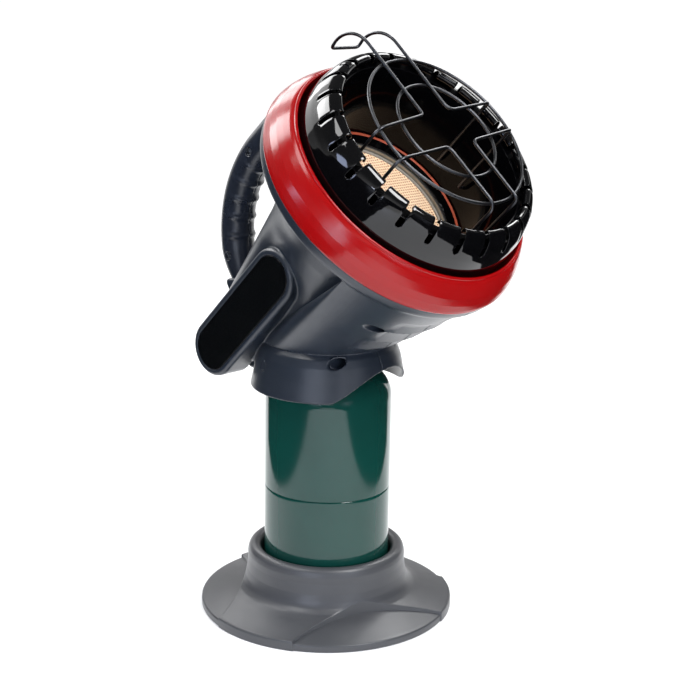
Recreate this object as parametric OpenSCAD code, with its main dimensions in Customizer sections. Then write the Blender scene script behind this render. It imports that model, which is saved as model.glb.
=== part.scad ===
// Portable radiant propane heater on a screw-on fuel cylinder and a push-on stand.
// Millimetres, +Z up, the heater faces -Y. The origin is the middle of the stand's underside.

/* [Stand] */
// Radius of the stand's rim
base_r = 100; // [92:1:110]
// Height of the stand's collar
base_h = 50; // [44:1:56]
// Wall of the stand's moulding
base_wall = 3; // [2.4:0.2:4]
// Height of the rim between the feet
rim_h = 5.5; // [4.5:0.5:7]
// Height of the rim at the feet
foot_h = 8.2; // [7.5:0.1:10]
// Thickness of the floor that the cylinder stands on
floor_t = 4; // [3:0.5:6]
// Gap between the fuel cylinder and the collar
collar_gap = 1.8; // [0.8:0.1:3]
// Thickness of the collar's rolled lip
collar_lip = 10.5; // [8:0.5:13]
// Half the angle of one scalloped recess
scallop_half = 40; // [30:1:46]
// Direction of the first recess
scallop_dir = -110; // [-180:5:180]
// Ribs under the stand
rib_count = 12; // [6:1:18]

/* [Fuel cylinder] */
// Radius of the fuel cylinder
cyl_r = 49.2; // [45:0.1:55]
// Height of its straight wall, with the bottom corner
cyl_wall_h = 168; // [150:1:190]
// Radius of its shoulder
shoulder_r = 22; // [16:1:26]
// Radius of its bottom corner
heel_r = 8; // [5:0.5:12]
// Height of the weld seam above the cylinder's bottom
seam_h = 95.7; // [70:0.5:120]
// Sheet of the cylinder's wall
cyl_sheet = 1; // [0.8:0.1:1.6]
// Depth of the dished bottom
dish_depth = 6; // [3:0.5:9]
// Radius over the threads of the valve boss
thread_r = 12.7; // [10:0.1:14]
// Pitch of the boss's thread
thread_pitch = 1.27; // [1:0.01:1.5]
// Turns that screw the heater on
thread_turns = 8; // [6:1:9]

/* [Head] */
// Tilt of the head from the upright
head_tilt = 45; // [40:1:50]
// Height where the head's axis crosses the cylinder's axis
axis_z = 273.3; // [268:0.5:280]
// Distance along the head's axis from there to the front flange
flange_dist = 88.6; // [84:0.5:92]
// Radius of the front flange
flange_r = 106.5; // [102:0.5:110]
// Thickness of the front flange
flange_t = 8; // [6:0.5:10]
// Wall of the housing
shell_t = 3; // [2.4:0.2:3.6]
// Radius of the barrel just behind the funnel
barrel_front_r = 61.7; // [59:0.1:65]
// Radius of the barrel's rear end
barrel_rear_r = 47.8; // [45:0.1:50]
// Length of the head behind the flange
barrel_len = 176; // [172:1:180]
// Length of the funnel behind the flange
funnel_len = 68; // [64:1:72]

/* [Front] */
// How far the red ring stands out over the flange
ring_lip = 0.9; // [0.4:0.1:2]
// Width of the red ring's front edge
ring_front_w = 2.4; // [1.6:0.1:4]
// Height of the red ring
ring_h = 27; // [24:0.5:30]
// Wall of the red ring
ring_wall = 2.2; // [1.6:0.1:3]
// Radial gap between the red ring and the slotted ring
ring_gap = 2.8; // [2:0.1:4]
// Radius of the slotted ring's side
dome_r = 91.3; // [89:0.1:93]
// Height of the slotted ring's rolled lip
dome_h = 57.6; // [56:0.1:60]
// Radius of the opening inside the lip
lip_r = 76.3; // [75.5:0.1:77]
// Sheet of the slotted ring and of the reflector
steel_sheet = 1; // [0.8:0.1:1.4]
// Slots in the slotted ring
slot_count = 24; // [12:1:28]
// Width of a slot
slot_w = 4.2; // [3:0.1:5]
// Radius where a slot ends
slot_end_r = 88.5; // [85:0.5:90]
// Direction of the first slot
slot_dir = 7; // [0:1:30]
// Radius of the reflector's mouth
bowl_mouth_r = 75; // [73:0.1:76]
// Height of the reflector's mouth above the flange
bowl_mouth_h = 49; // [44:0.5:51]
// Radius of the reflector's throat
bowl_throat_r = 65.5; // [64.5:0.1:67]
// Depth of the reflector's throat below the flange
bowl_depth = 16.5; // [14:0.5:20]

/* [Burner] */
// Radius of the ceramic tile
tile_r = 57; // [52:0.5:58]
// Thickness of the ceramic tile
tile_t = 13; // [10:0.5:15]
// Depth of the tile's face below the flange
tile_depth = 20.8; // [19:0.1:24]
// Width of the gasket round the tile
gasket_w = 2.2; // [1.5:0.1:2.5]
// Depth of the gas space under the tile
plenum_h = 18; // [12:1:22]
// Outer radius of the mixing tube
mix_r = 9; // [7:0.5:11]
// Length of the mixing tube
mix_len = 45; // [36:1:46]

/* [Guard] */
// Radius of the guard's wire
wire_r = 1.2; // [1:0.1:1.5]
// Height of the guard's cross wires above the flange
guard_h = 71; // [69:0.5:74]
// Half the gap between the two wires of an arm
arm_gap = 14.2; // [10:0.1:15]
// Length of an arm from the middle
arm_len = 65; // [63:0.5:67]
// Turn of the cross about the head's axis
guard_turn = 6.5; // [0:0.5:12]
// Radius of the large guard ring
guard_ring_r = 63; // [60:0.1:63]
// Radius of the small guard ring
guard_ring_small_r = 40.6; // [34:0.1:46]
// Reach of the hooked arm
hook_reach = 99.5; // [97:0.5:102]
// Height of the hook's lower end above the flange
hook_low = 42.5; // [38:0.5:44]

/* [Handle] */
// Radius of the handle's sweep
handle_sweep_r = 95.2; // [93:0.1:97]
// Radius of the grip
grip_r = 13.3; // [12.5:0.1:14]
// How far the sweep's centre lies behind the cylinder's axis
handle_y = 9.7; // [8:0.1:12]
// Height of the sweep's centre
handle_z = 286.3; // [284:0.1:289]
// Angle where the handle starts, below the level
handle_start = -22; // [-24:1:-20]
// Angle where the handle straightens
handle_end = 48; // [46:1:50]
// Wall of the handle
grip_wall = 2.5; // [2:0.1:3]

/* [Side pods] */
// Half the width over the two side pods
pod_x = 60; // [59:0.5:62]
// Half the width of one pod's face
pod_r = 22; // [20:0.5:24]
// Distance from the flange to the middle of a pod's front round
pod_front = 92; // [90:0.5:95]
// Distance from the flange to the middle of a pod's rear round
pod_rear = 185; // [181:0.5:187]
// Half the width of the label plate
label_r = 16.7; // [15:0.1:17.5]
// Thickness of the label plate
label_t = 0.8; // [0.6:0.1:1.2]

/* [Skirt] */
// Height of the floor over the fuel cylinder's shoulder
deck_z = 216; // [214.5:0.5:218]
// Height of the skirt's lower edge
skirt_z = 180; // [176:1:184]
// Radius of the skirt's lower edge
skirt_r = 60.5; // [59:0.1:63]
// Radius of the skirt's neck
neck_r = 51; // [50:0.1:53]
// Wall of the skirt
skirt_t = 2.5; // [2:0.1:3]
// Radius of the arch in the skirt's front
arch_r = 50; // [40:1:56]
// Height of the arch
arch_top = 201.3; // [196:0.1:203]
// Turn of the arch to the heater's left
arch_turn = 9; // [0:1:12]

/* [Back and buttons] */
// Lean of the back face from the upright
back_lean = 31; // [30:0.5:33]
// Distance of the start button behind the middle of the barrel's rear end
back_reach = 24.1; // [23.8:0.1:25]
// Height of the start button above the middle of the barrel's rear end
back_rise = 0.1; // [-1:0.1:1.5]
// Half the width of the back
back_x = 20; // [19:0.5:22]
// Radius of the start button
start_r = 11.5; // [10:0.1:12]
// Travel of the start button
start_travel = 3.5; // [2.5:0.1:4]
// Radius of the off button
off_r = 6.5; // [5.5:0.1:7]
// Travel of the off button
off_travel = 2.5; // [2:0.1:3]
// Distance from the start button up to the off button
button_pitch = 24; // [23:0.5:25]

/* [Hidden] */

$fn = 96;
eps = 0.01;            // overlap of two solids that are joined
seat_gap = 0.3;        // gap between a loose piece and what carries it
run_gap = 0.05;        // radial gap of a running fit

graphite = [0.27, 0.29, 0.32];
stand_grey = [0.40, 0.41, 0.42];
navy = [0.10, 0.12, 0.15];
enamel_red = [0.72, 0.09, 0.09];
enamel_black = [0.05, 0.05, 0.06];
bottle_green = [0.05, 0.24, 0.20];
steel = [0.62, 0.63, 0.65];
brass = [0.78, 0.64, 0.35];
ceramic = [0.98, 0.80, 0.58];
rust = [0.55, 0.22, 0.14];
fibre = [0.75, 0.73, 0.68];
rubber = [0.08, 0.08, 0.08];

// The start button, behind and above the middle of the barrel's rear end, to a tenth of a millimetre
function tenths(x) = round(10 * x) / 10;
start_y = tenths((barrel_len - flange_dist) * sin(head_tilt) + back_reach);
start_z = tenths(axis_z - (barrel_len - flange_dist) * cos(head_tilt) + back_rise);

// ---- Helpers ----

function unit(v) = v / norm(v);
function tangents(p) = [for (i = [0:len(p) - 1])
    unit(p[min(i + 1, len(p) - 1)] - p[max(i - 1, 0)])];
function across(n, t) = unit(n - (n * t) * t);
function normals(t, first) = [for (i = 0, n = across(first, t[0]); i < len(t);
    i = i + 1, n = i < len(t) ? across(n, t[i]) : n) n];
function bend(a, p, b, r, steps) =
    let (u = unit(a - p), v = unit(b - p), cut = r / tan(acos(u * v) / 2))
    [for (i = [0:steps]) let (s = i / steps)
        pow(1 - s, 2) * (p + cut * u) + 2 * s * (1 - s) * p + pow(s, 2) * (p + cut * v)];
// A line through the points with every inner corner rounded
function rounded(p, r, steps = 5) = concat([p[0]],
    [for (i = [1:len(p) - 2]) each bend(p[i - 1], p[i], p[i + 1], r, steps)],
    [p[len(p) - 1]]);
function helix(r, z0, z1, turns, steps) = [for (i = [0:turns * steps])
    let (a = 360 * i / steps)
    [r * cos(a), r * sin(a), z0 + (z1 - z0) * i / (turns * steps)]];

// A round tube of radius r swept along the points
module sweep(path, r, sides = 8, first = [0.31, 0.52, 0.79]) {
    t = tangents(path);
    n = normals(t, first);
    last = len(path) - 1;
    polyhedron(
        points = [for (i = [0:last], k = [0:sides - 1]) path[i]
            + r * (cos(360 * k / sides) * n[i] + sin(360 * k / sides) * cross(t[i], n[i]))],
        faces = concat([[for (k = [0:sides - 1]) k]],
            [for (i = [0:last - 1], k = [0:sides - 1]) let (j = (k + 1) % sides)
                [i * sides + k, (i + 1) * sides + k, (i + 1) * sides + j, i * sides + j]],
            [[for (k = [sides - 1:-1:0]) last * sides + k]]));
}

module ring(outer, inner, h) {
    difference() {
        cylinder(r = outer, h = h);
        translate([0, 0, -1]) cylinder(r = inner, h = h + 2);
    }
}

// The head's frame: z runs out along its axis from the flange's front, y runs up its face
module head() {
    translate([0, 0, axis_z]) rotate([head_tilt, 0, 0]) translate([0, 0, flange_dist]) children();
}
// The back face's frame: z runs out of the start button, y runs down the back
module back() {
    translate([0, start_y, start_z]) rotate([-(90 + back_lean), 0, 0]) children();
}
// The side half spaces of the split housing
module half(side) {
    big = 500;
    intersection() {
        children();
        translate([side > 0 ? 0 : -big, -big / 2, 0]) cube([big, big, big]);
    }
}
// A stadium in the side view of the head, from the front round to the rear round
module stadium(r, front, rear, h) {
    for (d = [front, rear]) translate([0, 0, -d]) rotate([0, 90, 0]) cylinder(r = r, h = h);
    translate([0, -r, -rear]) cube([h, 2 * r, rear - front]);
}

// ---- Stand ----

collar_r = cyl_r + collar_gap;
collar_out = collar_r + collar_lip;
scallop_near = collar_out + 2.7;   // how near a recess comes to the axis
scallop_d = (pow(base_r, 2) - pow(scallop_near, 2))
    / (2 * (base_r * cos(scallop_half) - scallop_near));
scallop_r = scallop_d - scallop_near;
scallop_rise = 0.24;               // slope of a recess's surface
rib_t = 2;

module base_profile() {
    polygon([
        [0, 0], [base_r, 0], [base_r, foot_h - 1.8], [base_r - 0.7, foot_h - 0.6],
        [base_r - 2, foot_h], [base_r - 10, foot_h + 2.4], [base_r - 15, foot_h + 3.8],
        [base_r - 25, foot_h + 7], [collar_out + 8.5, foot_h + 9.3],
        [collar_out + 4.5, foot_h + 12.4], [collar_out + 2.5, foot_h + 16.2],
        [collar_out + 1.2, foot_h + 22], [collar_out + 0.4, base_h - 12],
        [collar_out + 0.5, base_h - 7], [collar_out, base_h - 3.6],
        [collar_out - 2, base_h - 1], [collar_out - 4.7, base_h],
        [collar_r + 2.6, base_h - 0.6], [collar_r + 0.6, base_h - 2.4],
        [collar_r, base_h - 5], [collar_r, floor_t], [0, floor_t]
    ]);
}
module scallop_space() {
    rotate_extrude() polygon([
        [base_r + 2, rim_h], [base_r, rim_h],
        [scallop_near - 1, rim_h + (base_r - scallop_near + 1) * scallop_rise],
        [scallop_near - 1, base_h], [base_r + 2, base_h]
    ]);
}
module stand_base() color(stand_grey) {
    cavity_r0 = collar_r + base_wall;
    cavity_r1 = base_r - base_wall;
    top = rim_h + (base_r - scallop_near) * scallop_rise - base_wall;
    difference() {
        rotate_extrude() base_profile();
        for (k = [0:2]) rotate([0, 0, scallop_dir + 120 * k]) intersection() {
            scallop_space();
            translate([scallop_d, 0, 0]) cylinder(r = scallop_r, h = base_h);
        }
        rotate_extrude() polygon([
            [cavity_r0, -1], [cavity_r1, -1], [cavity_r1, rim_h - base_wall],
            [scallop_near, top], [collar_out - base_wall, top + 8],
            [collar_out - base_wall, base_h - 9], [cavity_r0, base_h - 9]
        ]);
    }
    for (k = [0:rib_count - 1]) rotate([0, 0, (k + 0.5) * 360 / rib_count]) intersection() {
        translate([cavity_r0 - eps, -rib_t / 2, 0.5]) cube([cavity_r1 - cavity_r0 + 2 * eps, rib_t, top + 6]);
        rotate_extrude() polygon([
            [cavity_r0 - 1, 0.5], [cavity_r1 + 1, 0.5], [cavity_r1 + 1, rim_h - base_wall + eps],
            [scallop_near, top + eps], [collar_out - base_wall + eps, top + 8],
            [collar_out - base_wall + eps, top + 9], [cavity_r0 - 1, top + 9]
        ]);
    }
}

// ---- Fuel cylinder ----

cyl_z = floor_t;
seam_z = cyl_z + seam_h;
shoulder_z = cyl_z + cyl_wall_h;
crown_z = shoulder_z + shoulder_r + 2;      // where the shoulder meets the boss
boss_foot_r = 13.4;
thread_z = crown_z + 1.5;
thread_lead = 1;                    // plain length under the fitting
thread_len = thread_turns * thread_pitch + thread_lead;
thread_top = thread_z + thread_len;
core_r = 4.4;
pin_r = 1.2;
pin_top = thread_top - 5.5;
arc_steps = 10;

function arc_points(cx, cz, r, a0, a1) = [for (i = [0:arc_steps])
    let (a = a0 + (a1 - a0) * i / arc_steps) [cx + r * cos(a), cz + r * sin(a)]];

module cylinder_lower_shell() color(bottle_green) {
    joggle = 4;
    rotate_extrude() polygon(concat(
        [[0, cyl_z + dish_depth]],
        [[heel_r * 2, cyl_z + dish_depth - 0.8], [cyl_r - heel_r - 6, cyl_z + 1], [cyl_r - heel_r - 3, cyl_z]],
        arc_points(cyl_r - heel_r, cyl_z + heel_r, heel_r, -90, 0),
        [[cyl_r, seam_z - 0.3], [cyl_r - cyl_sheet, seam_z - 0.3], [cyl_r - cyl_sheet, seam_z + joggle],
            [cyl_r - 2 * cyl_sheet, seam_z + joggle], [cyl_r - 2 * cyl_sheet, seam_z - 1.5],
            [cyl_r - cyl_sheet, seam_z - 3]],
        arc_points(cyl_r - heel_r, cyl_z + heel_r, heel_r - cyl_sheet, 0, -90),
        [[cyl_r - heel_r - 3, cyl_z + cyl_sheet], [cyl_r - heel_r - 6, cyl_z + 1 + cyl_sheet],
            [heel_r * 2, cyl_z + dish_depth - 0.8 + cyl_sheet], [0, cyl_z + dish_depth + cyl_sheet]]
    ));
}
module cylinder_upper_shell() color(bottle_green) {
    sheet = cyl_sheet;
    knee = cyl_r - shoulder_r;
    rotate_extrude() polygon(concat(
        [[cyl_r - sheet, seam_z], [cyl_r, seam_z]],
        arc_points(knee, shoulder_z, shoulder_r, 0, 84),
        [[boss_foot_r, crown_z], [boss_foot_r, crown_z - sheet]],
        arc_points(knee, shoulder_z, shoulder_r - sheet, 84, 0)
    ));
}
module cylinder_valve_boss() color(steel) difference() {
    union() {
        translate([0, 0, crown_z - 4]) cylinder(r = boss_foot_r, h = 4);
        translate([0, 0, crown_z]) cylinder(r = boss_foot_r + 1.6, h = 1.5);
        translate([0, 0, thread_z]) cylinder(r = thread_r, h = thread_len);
    }
    translate([0, 0, crown_z - 5]) cylinder(r = core_r, h = thread_top - crown_z + 6);
}
module check_valve_core() color(brass) translate([0, 0, crown_z - 3])
    difference() {
        cylinder(r = core_r, h = 6);
        translate([0, 0, -1]) cylinder(r = pin_r + run_gap, h = 8);
    }
module check_valve_pin() color(brass) translate([0, 0, crown_z - 4]) {
    cylinder(r = pin_r, h = pin_top - crown_z + 4);
    translate([0, 0, -1.5]) cylinder(r = pin_r + 1, h = 1.5);
}
module relief_valve() color(steel) rotate([0, 0, 150]) {
    at = cyl_r - shoulder_r;
    difference() {
        translate([at, 0, shoulder_z + shoulder_r - 2]) cylinder(r = 3.4, h = 7);
        rotate_extrude() polygon(concat(
            [[0, shoulder_z], [cyl_r, shoulder_z]],
            arc_points(at, shoulder_z, shoulder_r, 0, 84),
            [[boss_foot_r, crown_z], [0, crown_z]]));
    }
}

// ---- Housing ----

funnel = [ // share of the flange's overhang and of the funnel's length, from the flange back
    [0.93, 0.030], [0.70, 0.110], [0.48, 0.235], [0.27, 0.41], [0.12, 0.62], [0.03, 0.85]
];
funnel_edge_r = flange_r - 4.5;
function funnel_points(inset) = [for (f = funnel)
    [barrel_front_r + (funnel_edge_r - barrel_front_r) * f[0] - inset,
        -flange_t - (funnel_len - flange_t) * f[1] - inset * 0.4]];
rear_round = 7;

module head_outer() rotate_extrude() polygon(concat(
    [[0, 0], [flange_r - 0.8, 0], [flange_r, -0.8], [flange_r - 2, -flange_t + 0.6], [flange_r - 3, -flange_t]],
    funnel_points(0),
    [[barrel_front_r, -funnel_len], [barrel_rear_r, -barrel_len + rear_round],
        [barrel_rear_r - 2, -barrel_len + rear_round / 3], [barrel_rear_r - 5, -barrel_len], [0, -barrel_len]]
));
module head_inner() rotate_extrude() polygon(concat(
    [[0, 1], [seat_in_r, 1], [seat_in_r, -flange_t - 1.5]],
    funnel_points(shell_t),
    [[barrel_front_r - shell_t, -funnel_len], [barrel_rear_r - shell_t, -barrel_len + rear_round],
        [barrel_rear_r - 5 - shell_t / 2, -barrel_len + shell_t], [0, -barrel_len + shell_t]]
));
seat_in_r = dome_r + 1;            // opening in the flange's front

belly_cut = 56;                    // how far below the head's axis the belly starts on the flange
module belly(inset) hull() {
    translate([0, 0, deck_z + inset]) cylinder(r = neck_r - inset, h = 1, $fn = 48);
    head() intersection() {
        translate([0, 0, -flange_t - 2.5 - inset / 2]) cylinder(r = funnel_edge_r - inset * 1.3, h = 1, $fn = 48);
        translate([-flange_r, -2 * flange_r - belly_cut - inset * 1.3, -50]) cube([2 * flange_r, 2 * flange_r, 100]);
    }
}

pod_in = 36;                       // where a pod's outline starts, inside the barrel
module pod(side, inset) head() mirror([side > 0 ? 0 : 1, 0, 0]) translate([pod_in, 0, 0])
    stadium(pod_r - inset, pod_front, pod_rear, pod_x - pod_in - inset);
pod_round = 4;
module pod_body(side) head() mirror([side > 0 ? 0 : 1, 0, 0]) {
    translate([pod_in, 0, 0]) stadium(pod_r, pod_front, pod_rear, pod_x - pod_in - pod_round / 2);
    translate([pod_x - pod_round / 2 - eps, 0, 0])
        stadium(pod_r - pod_round / 2, pod_front, pod_rear, pod_round / 2 + eps);
}

// Outline of the back in the mid plane, as [y, z]
back_s = sin(back_lean);
back_c = cos(back_lean);
function on_back(down) = [start_y - down * back_s, start_z - down * back_c];
back_up = 42;                      // how far the back reaches up from the start button
back_down = 21;                    // how far it reaches down
back_foot_z = skirt_z + 2;
module back_outline(inset) {
    a = on_back(-back_up + 1.2 * inset) - [inset / back_c, 0];
    b = on_back(back_down) - [inset / back_c, 0];
    polygon([
        a, b, [b[0] - 3, back_foot_z + 2 + inset], [b[0] - 6, back_foot_z + inset],
        [skirt_r + 0.5 + inset, back_foot_z + inset], [skirt_r - 2 + inset, deck_z], [50, deck_z + 20],
        [a[0] - 2 * grip_r, a[1] + 4]
    ]);
}
shoulder_top = deck_z + 17;        // above it the back is only as wide as the grip
module back_slab(half_w, inset) rotate([90, 0, 90]) translate([0, 0, -half_w + inset])
    linear_extrude(2 * (half_w - inset)) children();
module back_block(inset) {
    back_slab(grip_r, inset) back_outline(inset);
    back_slab(back_x, inset) intersection() {
        back_outline(inset);
        translate([0, -inset]) square([200, shoulder_top]);
    }
}

// The knuckle that carries the handle's upper end behind the flange
knuckle_x = 9;
module knuckle() head() translate([-knuckle_x, 0, 0]) rotate([90, 0, 90]) linear_extrude(2 * knuckle_x)
    polygon([
        [barrel_front_r + 18, -14], [flange_r - 3, -flange_t - 1], [flange_r + 1, -12],
        [flange_r + 2, -30], [flange_r - 6, -42], [barrel_front_r + 8, -38]
    ]);

// The skirt round the fuel cylinder's shoulder, as [radius, height]
function skirt_points(inset) = [
    [skirt_r - inset, skirt_z], [skirt_r - 1.9 - inset, skirt_z + 9], [skirt_r - 3.2 - inset, skirt_z + 15],
    [skirt_r - 4 - inset, skirt_z + 20], [skirt_r - 5.3 - inset, skirt_z + 26],
    [skirt_r - 7.5 - inset, skirt_z + 32], [neck_r - 1.5 - inset, deck_z - inset]
];
module skirt_shell() difference() {
    rotate_extrude() polygon(concat([[0, deck_z + shell_t], [0, skirt_z], [skirt_r - skirt_t, skirt_z]],
        skirt_points(0), [[neck_r - 1.5, deck_z + shell_t]]));
    skirt_space();
    rotate([90, 0, arch_turn]) translate([0, arch_top - arch_r, 0]) cylinder(r = arch_r, h = 2 * skirt_r);
}
module skirt_space() rotate_extrude() polygon(concat(
    [[0, 100], [skirt_r - skirt_t, 100]], skirt_points(skirt_t),
    [[0, deck_z - skirt_t]]));
module deck_hole() translate([0, 0, deck_z - 10]) cylinder(r = fitting_r + 1.5, h = 20);

// Screws across the split, as [y, z, reach of the head's bore]
belly_screw = [-86, 246.5];
deck_screw = [-41, deck_z - 6.5];
foot_in = [-9, 2];                 // from the back's face to the foot's screw
foot_screw = on_back(back_down - 5) + foot_in;
knuckle_screw = [8, 390];
function on_handle(a) = [handle_y + handle_sweep_r * cos(a), handle_z + handle_sweep_r * sin(a)];
handle_screws = [on_handle(-12), on_handle(44)];
housing_screw_spots = [belly_screw, deck_screw, foot_screw, knuckle_screw];
boss_r = 5.5;
bore_r = 4;                        // bore that the screw's head sinks into
screw_r = 1.6;
head_r = 3.1;
head_h = 2.2;
web_t = 8;                         // web under the screw's head
screw_reach = 10;

module across_x(spot, r, x0, x1) translate([x0, spot[0], spot[1]]) rotate([0, 90, 0]) cylinder(r = r, h = x1 - x0);
module screw_holes(spot, bore) {
    across_x(spot, screw_r + 0.1, -web_t - 1, screw_reach + 1);
    across_x(spot, bore, -80, -web_t);
}
vent_count = 3;
vent_pitch = 13;
module vents() for (k = [0:vent_count - 1])
    translate([0, -72 - vent_pitch * k, deck_z + 6 + 7.5 * k]) rotate([-30, 0, 0])
        translate([-16, -12, -1.4]) cube([32, 20, 2.8]);

module housing_outer() {
    head() head_outer();
    belly(0);
    for (s = [-1, 1]) pod_body(s);
    back_block(0);
    knuckle();
}
module housing_inner() {
    head() head_inner();
    belly(shell_t);
    intersection() {
        union() {
            for (s = [-1, 1]) pod(s, shell_t);
            back_block(shell_t);
        }
        translate([-150, -150, back_foot_z + shell_t]) cube([300, 300, 200]);
    }
}
module housing_solid() difference() {
    union() {
        difference() {
            housing_outer();
            intersection() {
                housing_inner();
                union() {
                    translate([-150, -200, deck_z + shell_t]) cube([300, 400, 300]);
                    difference() {
                        translate([-150, -150, back_foot_z + shell_t]) cube([300, 300, 60]);
                        translate([0, 0, 100]) cylinder(r = skirt_r + 0.5, h = 200);
                    }
                }
            }
        }
        skirt_shell();
        intersection() {
            union() {
                housing_outer();
                translate([0, 0, deck_z - 14]) cylinder(r = neck_r - 2, h = 14 + eps);
            }
            for (p = housing_screw_spots) across_x(p, boss_r, -pod_x, pod_x);
        }
        // posts that carry the reflector and the burner
        head() for (k = [0:3]) rotate([0, 0, 45 + 90 * k]) translate([post_pcr, 0, post_low])
            cylinder(r = post_r, h = post_top - post_low);
    }
    difference() {
        skirt_space();
        across_x(deck_screw, boss_r, -pod_x, pod_x);
    }
    deck_hole();
    vents();
    for (p = housing_screw_spots) screw_holes(p, bore_r);
    head() for (k = [0:3]) rotate([0, 0, 45 + 90 * k]) translate([post_pcr, 0, -bowl_depth - post_screw_len - 1])
        cylinder(r = screw_r + 0.1, h = 20);
    // side bore in the skirt
    across_x([17, skirt_z + 20], bore_r, -80, -40);
    // the label's recess and the buttons' holes
    for (s = [-1, 1]) head() mirror([s > 0 ? 0 : 1, 0, 0]) translate([pod_x - label_t - 0.2, 0, 0])
        stadium(label_r + 0.3, pod_front, pod_rear, 5);
    back() {
        translate([0, 0, -8]) cylinder(r = start_r + 0.4, h = 20);
        translate([0, -button_pitch, -8]) cylinder(r = off_r + 0.4, h = 20);
    }
    handle_outer();
}
post_pcr = 76;
post_r = 5.5;
post_top = -bowl_depth - 2 * steel_sheet;
post_len = 9.5;
post_low = post_top - post_len;
post_screw_len = 8;                // of the reflector's screws, from the reflector's flange back

module housing_left() color(graphite) half(1) housing_solid();
module housing_right() color(graphite) half(-1) housing_solid();

// ---- Handle ----

handle_lap = 1.5;                  // how far the handle runs into the housing's socket
handle_straight = 55;              // length of the straight part up to the flange's back
handle_step = 0.2;                 // how much slimmer the straight part is than the sweep
ridge_rise = 1.4;
ridge_t = 2.4;
module handle_sweep(r, a0, straight) translate([0, handle_y, handle_z]) rotate([90, 0, 90]) {
    rotate([0, 0, a0]) rotate_extrude(angle = handle_end - a0) translate([handle_sweep_r, 0]) circle(r = r, $fn = 48);
    rotate([0, 0, handle_end]) translate([handle_sweep_r, -1, 0]) rotate([-90, 0, 0])
        cylinder(r = r - handle_step, h = straight + 1);
}
module handle_outer() {
    handle_sweep(grip_r, handle_start - handle_lap, handle_straight);
    translate([0, handle_y, handle_z]) rotate([90, 0, 90]) rotate([0, 0, handle_end])
        translate([handle_sweep_r, handle_straight, 0]) sphere(r = grip_r - 2 * handle_step);
    // ridges for the fingers on the inner side
    translate([0, handle_y, handle_z]) rotate([90, 0, 90]) for (a = ridge_angles) rotate([0, 0, a])
        translate([handle_sweep_r - ridge_rise, 0, 0]) rotate([90, 0, 0])
            cylinder(r = grip_r - 0.2, h = ridge_t, center = true, $fn = 48);
}
ridge_angles = [-2, 8, 18, 28, 38];
module handle_solid() difference() {
    handle_outer();
    difference() {
        handle_sweep(grip_r - grip_wall, handle_start, handle_straight - 10);
        for (p = handle_screws) across_x(p, boss_r, -grip_r, grip_r);
    }
    for (p = handle_screws) screw_holes(p, head_r + 0.3);
}
module handle_left() color(navy) half(1) handle_solid();
module handle_right() color(navy) half(-1) handle_solid();

module screw_at(spot) translate([0, spot[0], spot[1]]) rotate([0, 90, 0]) {
    translate([0, 0, -web_t]) cylinder(r = screw_r, h = web_t + screw_reach);
    difference() {
        translate([0, 0, -web_t - head_h]) cylinder(r = head_r, h = head_h);
        for (a = [0, 90]) rotate([0, 0, a]) translate([-2, -0.4, -web_t - head_h - 1]) cube([4, 0.8, 2.2]);
    }
}
module housing_screws() color(steel) for (p = concat(housing_screw_spots, handle_screws)) screw_at(p);

module label_plate(side) color(rubber) head() mirror([side > 0 ? 0 : 1, 0, 0])
    translate([pod_x - label_t - 0.2, 0, 0]) stadium(label_r, pod_front, pod_rear, label_t);
module label_plate_left() label_plate(1);
module label_plate_right() label_plate(-1);

// ---- Front rings and reflector ----

dome_foot_r = flange_r - 7;
ring_r = flange_r + ring_lip;
ring_in_r = dome_r + ring_gap;
ring_front_r = ring_in_r + ring_front_w;
module front_ring() color(enamel_red) head() rotate_extrude() polygon([
    [ring_r - ring_wall - 4, 0], [ring_r, 0], [ring_r - 0.2, 3], [ring_r - 1.4, 8], [ring_r - 3.4, 13.5],
    [ring_r - 6.1, 18.5], [ring_r - 8.8, 23], [ring_front_r + 0.5, ring_h - 1], [ring_front_r, ring_h],
    [ring_in_r + 1, ring_h + 0.5], [ring_in_r, ring_h], [ring_in_r, steel_sheet],
    [ring_in_r + ring_wall, steel_sheet], [ring_in_r + ring_wall, ring_h - 5],
    [ring_r - 8.8 - ring_wall, 21], [ring_r - 6.1 - ring_wall, 16.8], [ring_r - 3.4 - ring_wall, 12],
    [ring_r - 1.4 - ring_wall, 7], [ring_r - ring_wall, 2], [ring_r - ring_wall - 4, 2]
]);

dome_side_h = 30.3;
module slotted_ring() color(enamel_black) head() difference() {
    rotate_extrude() polygon([
        [dome_foot_r, 0], [dome_foot_r, steel_sheet], [dome_r + 0.4, steel_sheet],
        [dome_r + 0.2, 14], [dome_r, dome_side_h], [dome_r - 1.1, 38], [dome_r - 2.7, 44.6],
        [dome_r - 4.5, dome_h - 8], [dome_r - 6.3, dome_h - 4.3], [dome_r - 8.2, dome_h - 2],
        [dome_r - 11, dome_h - 0.4], [dome_r - 13, dome_h], [lip_r + 0.8, dome_h - 0.6],
        [lip_r, dome_h - 2.2], [lip_r + steel_sheet, dome_h - 2.2], [lip_r + 1.4, dome_h - 1.4],
        [dome_r - 13, dome_h - steel_sheet], [dome_r - 11.3, dome_h - 1.4],
        [dome_r - 8.9, dome_h - 2.8], [dome_r - 7.2, dome_h - 4.8], [dome_r - 5.5, dome_h - 8.3],
        [dome_r - 2.7 - steel_sheet, 44.3], [dome_r - 1.1 - steel_sheet, 37.8],
        [dome_r - steel_sheet, dome_side_h], [dome_r + 0.2 - steel_sheet, 14],
        [dome_r - 0.6, 0]
    ]);
    for (k = [0:slot_count - 1]) rotate([0, 0, slot_dir + 360 * k / slot_count]) {
        translate([lip_r - 4, -slot_w / 2, 40]) cube([slot_end_r - slot_w / 2 - lip_r + 4, slot_w, 20]);
        translate([slot_end_r - slot_w / 2, 0, 40]) cylinder(r = slot_w / 2, h = 20, $fn = 32);
    }
}

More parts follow.
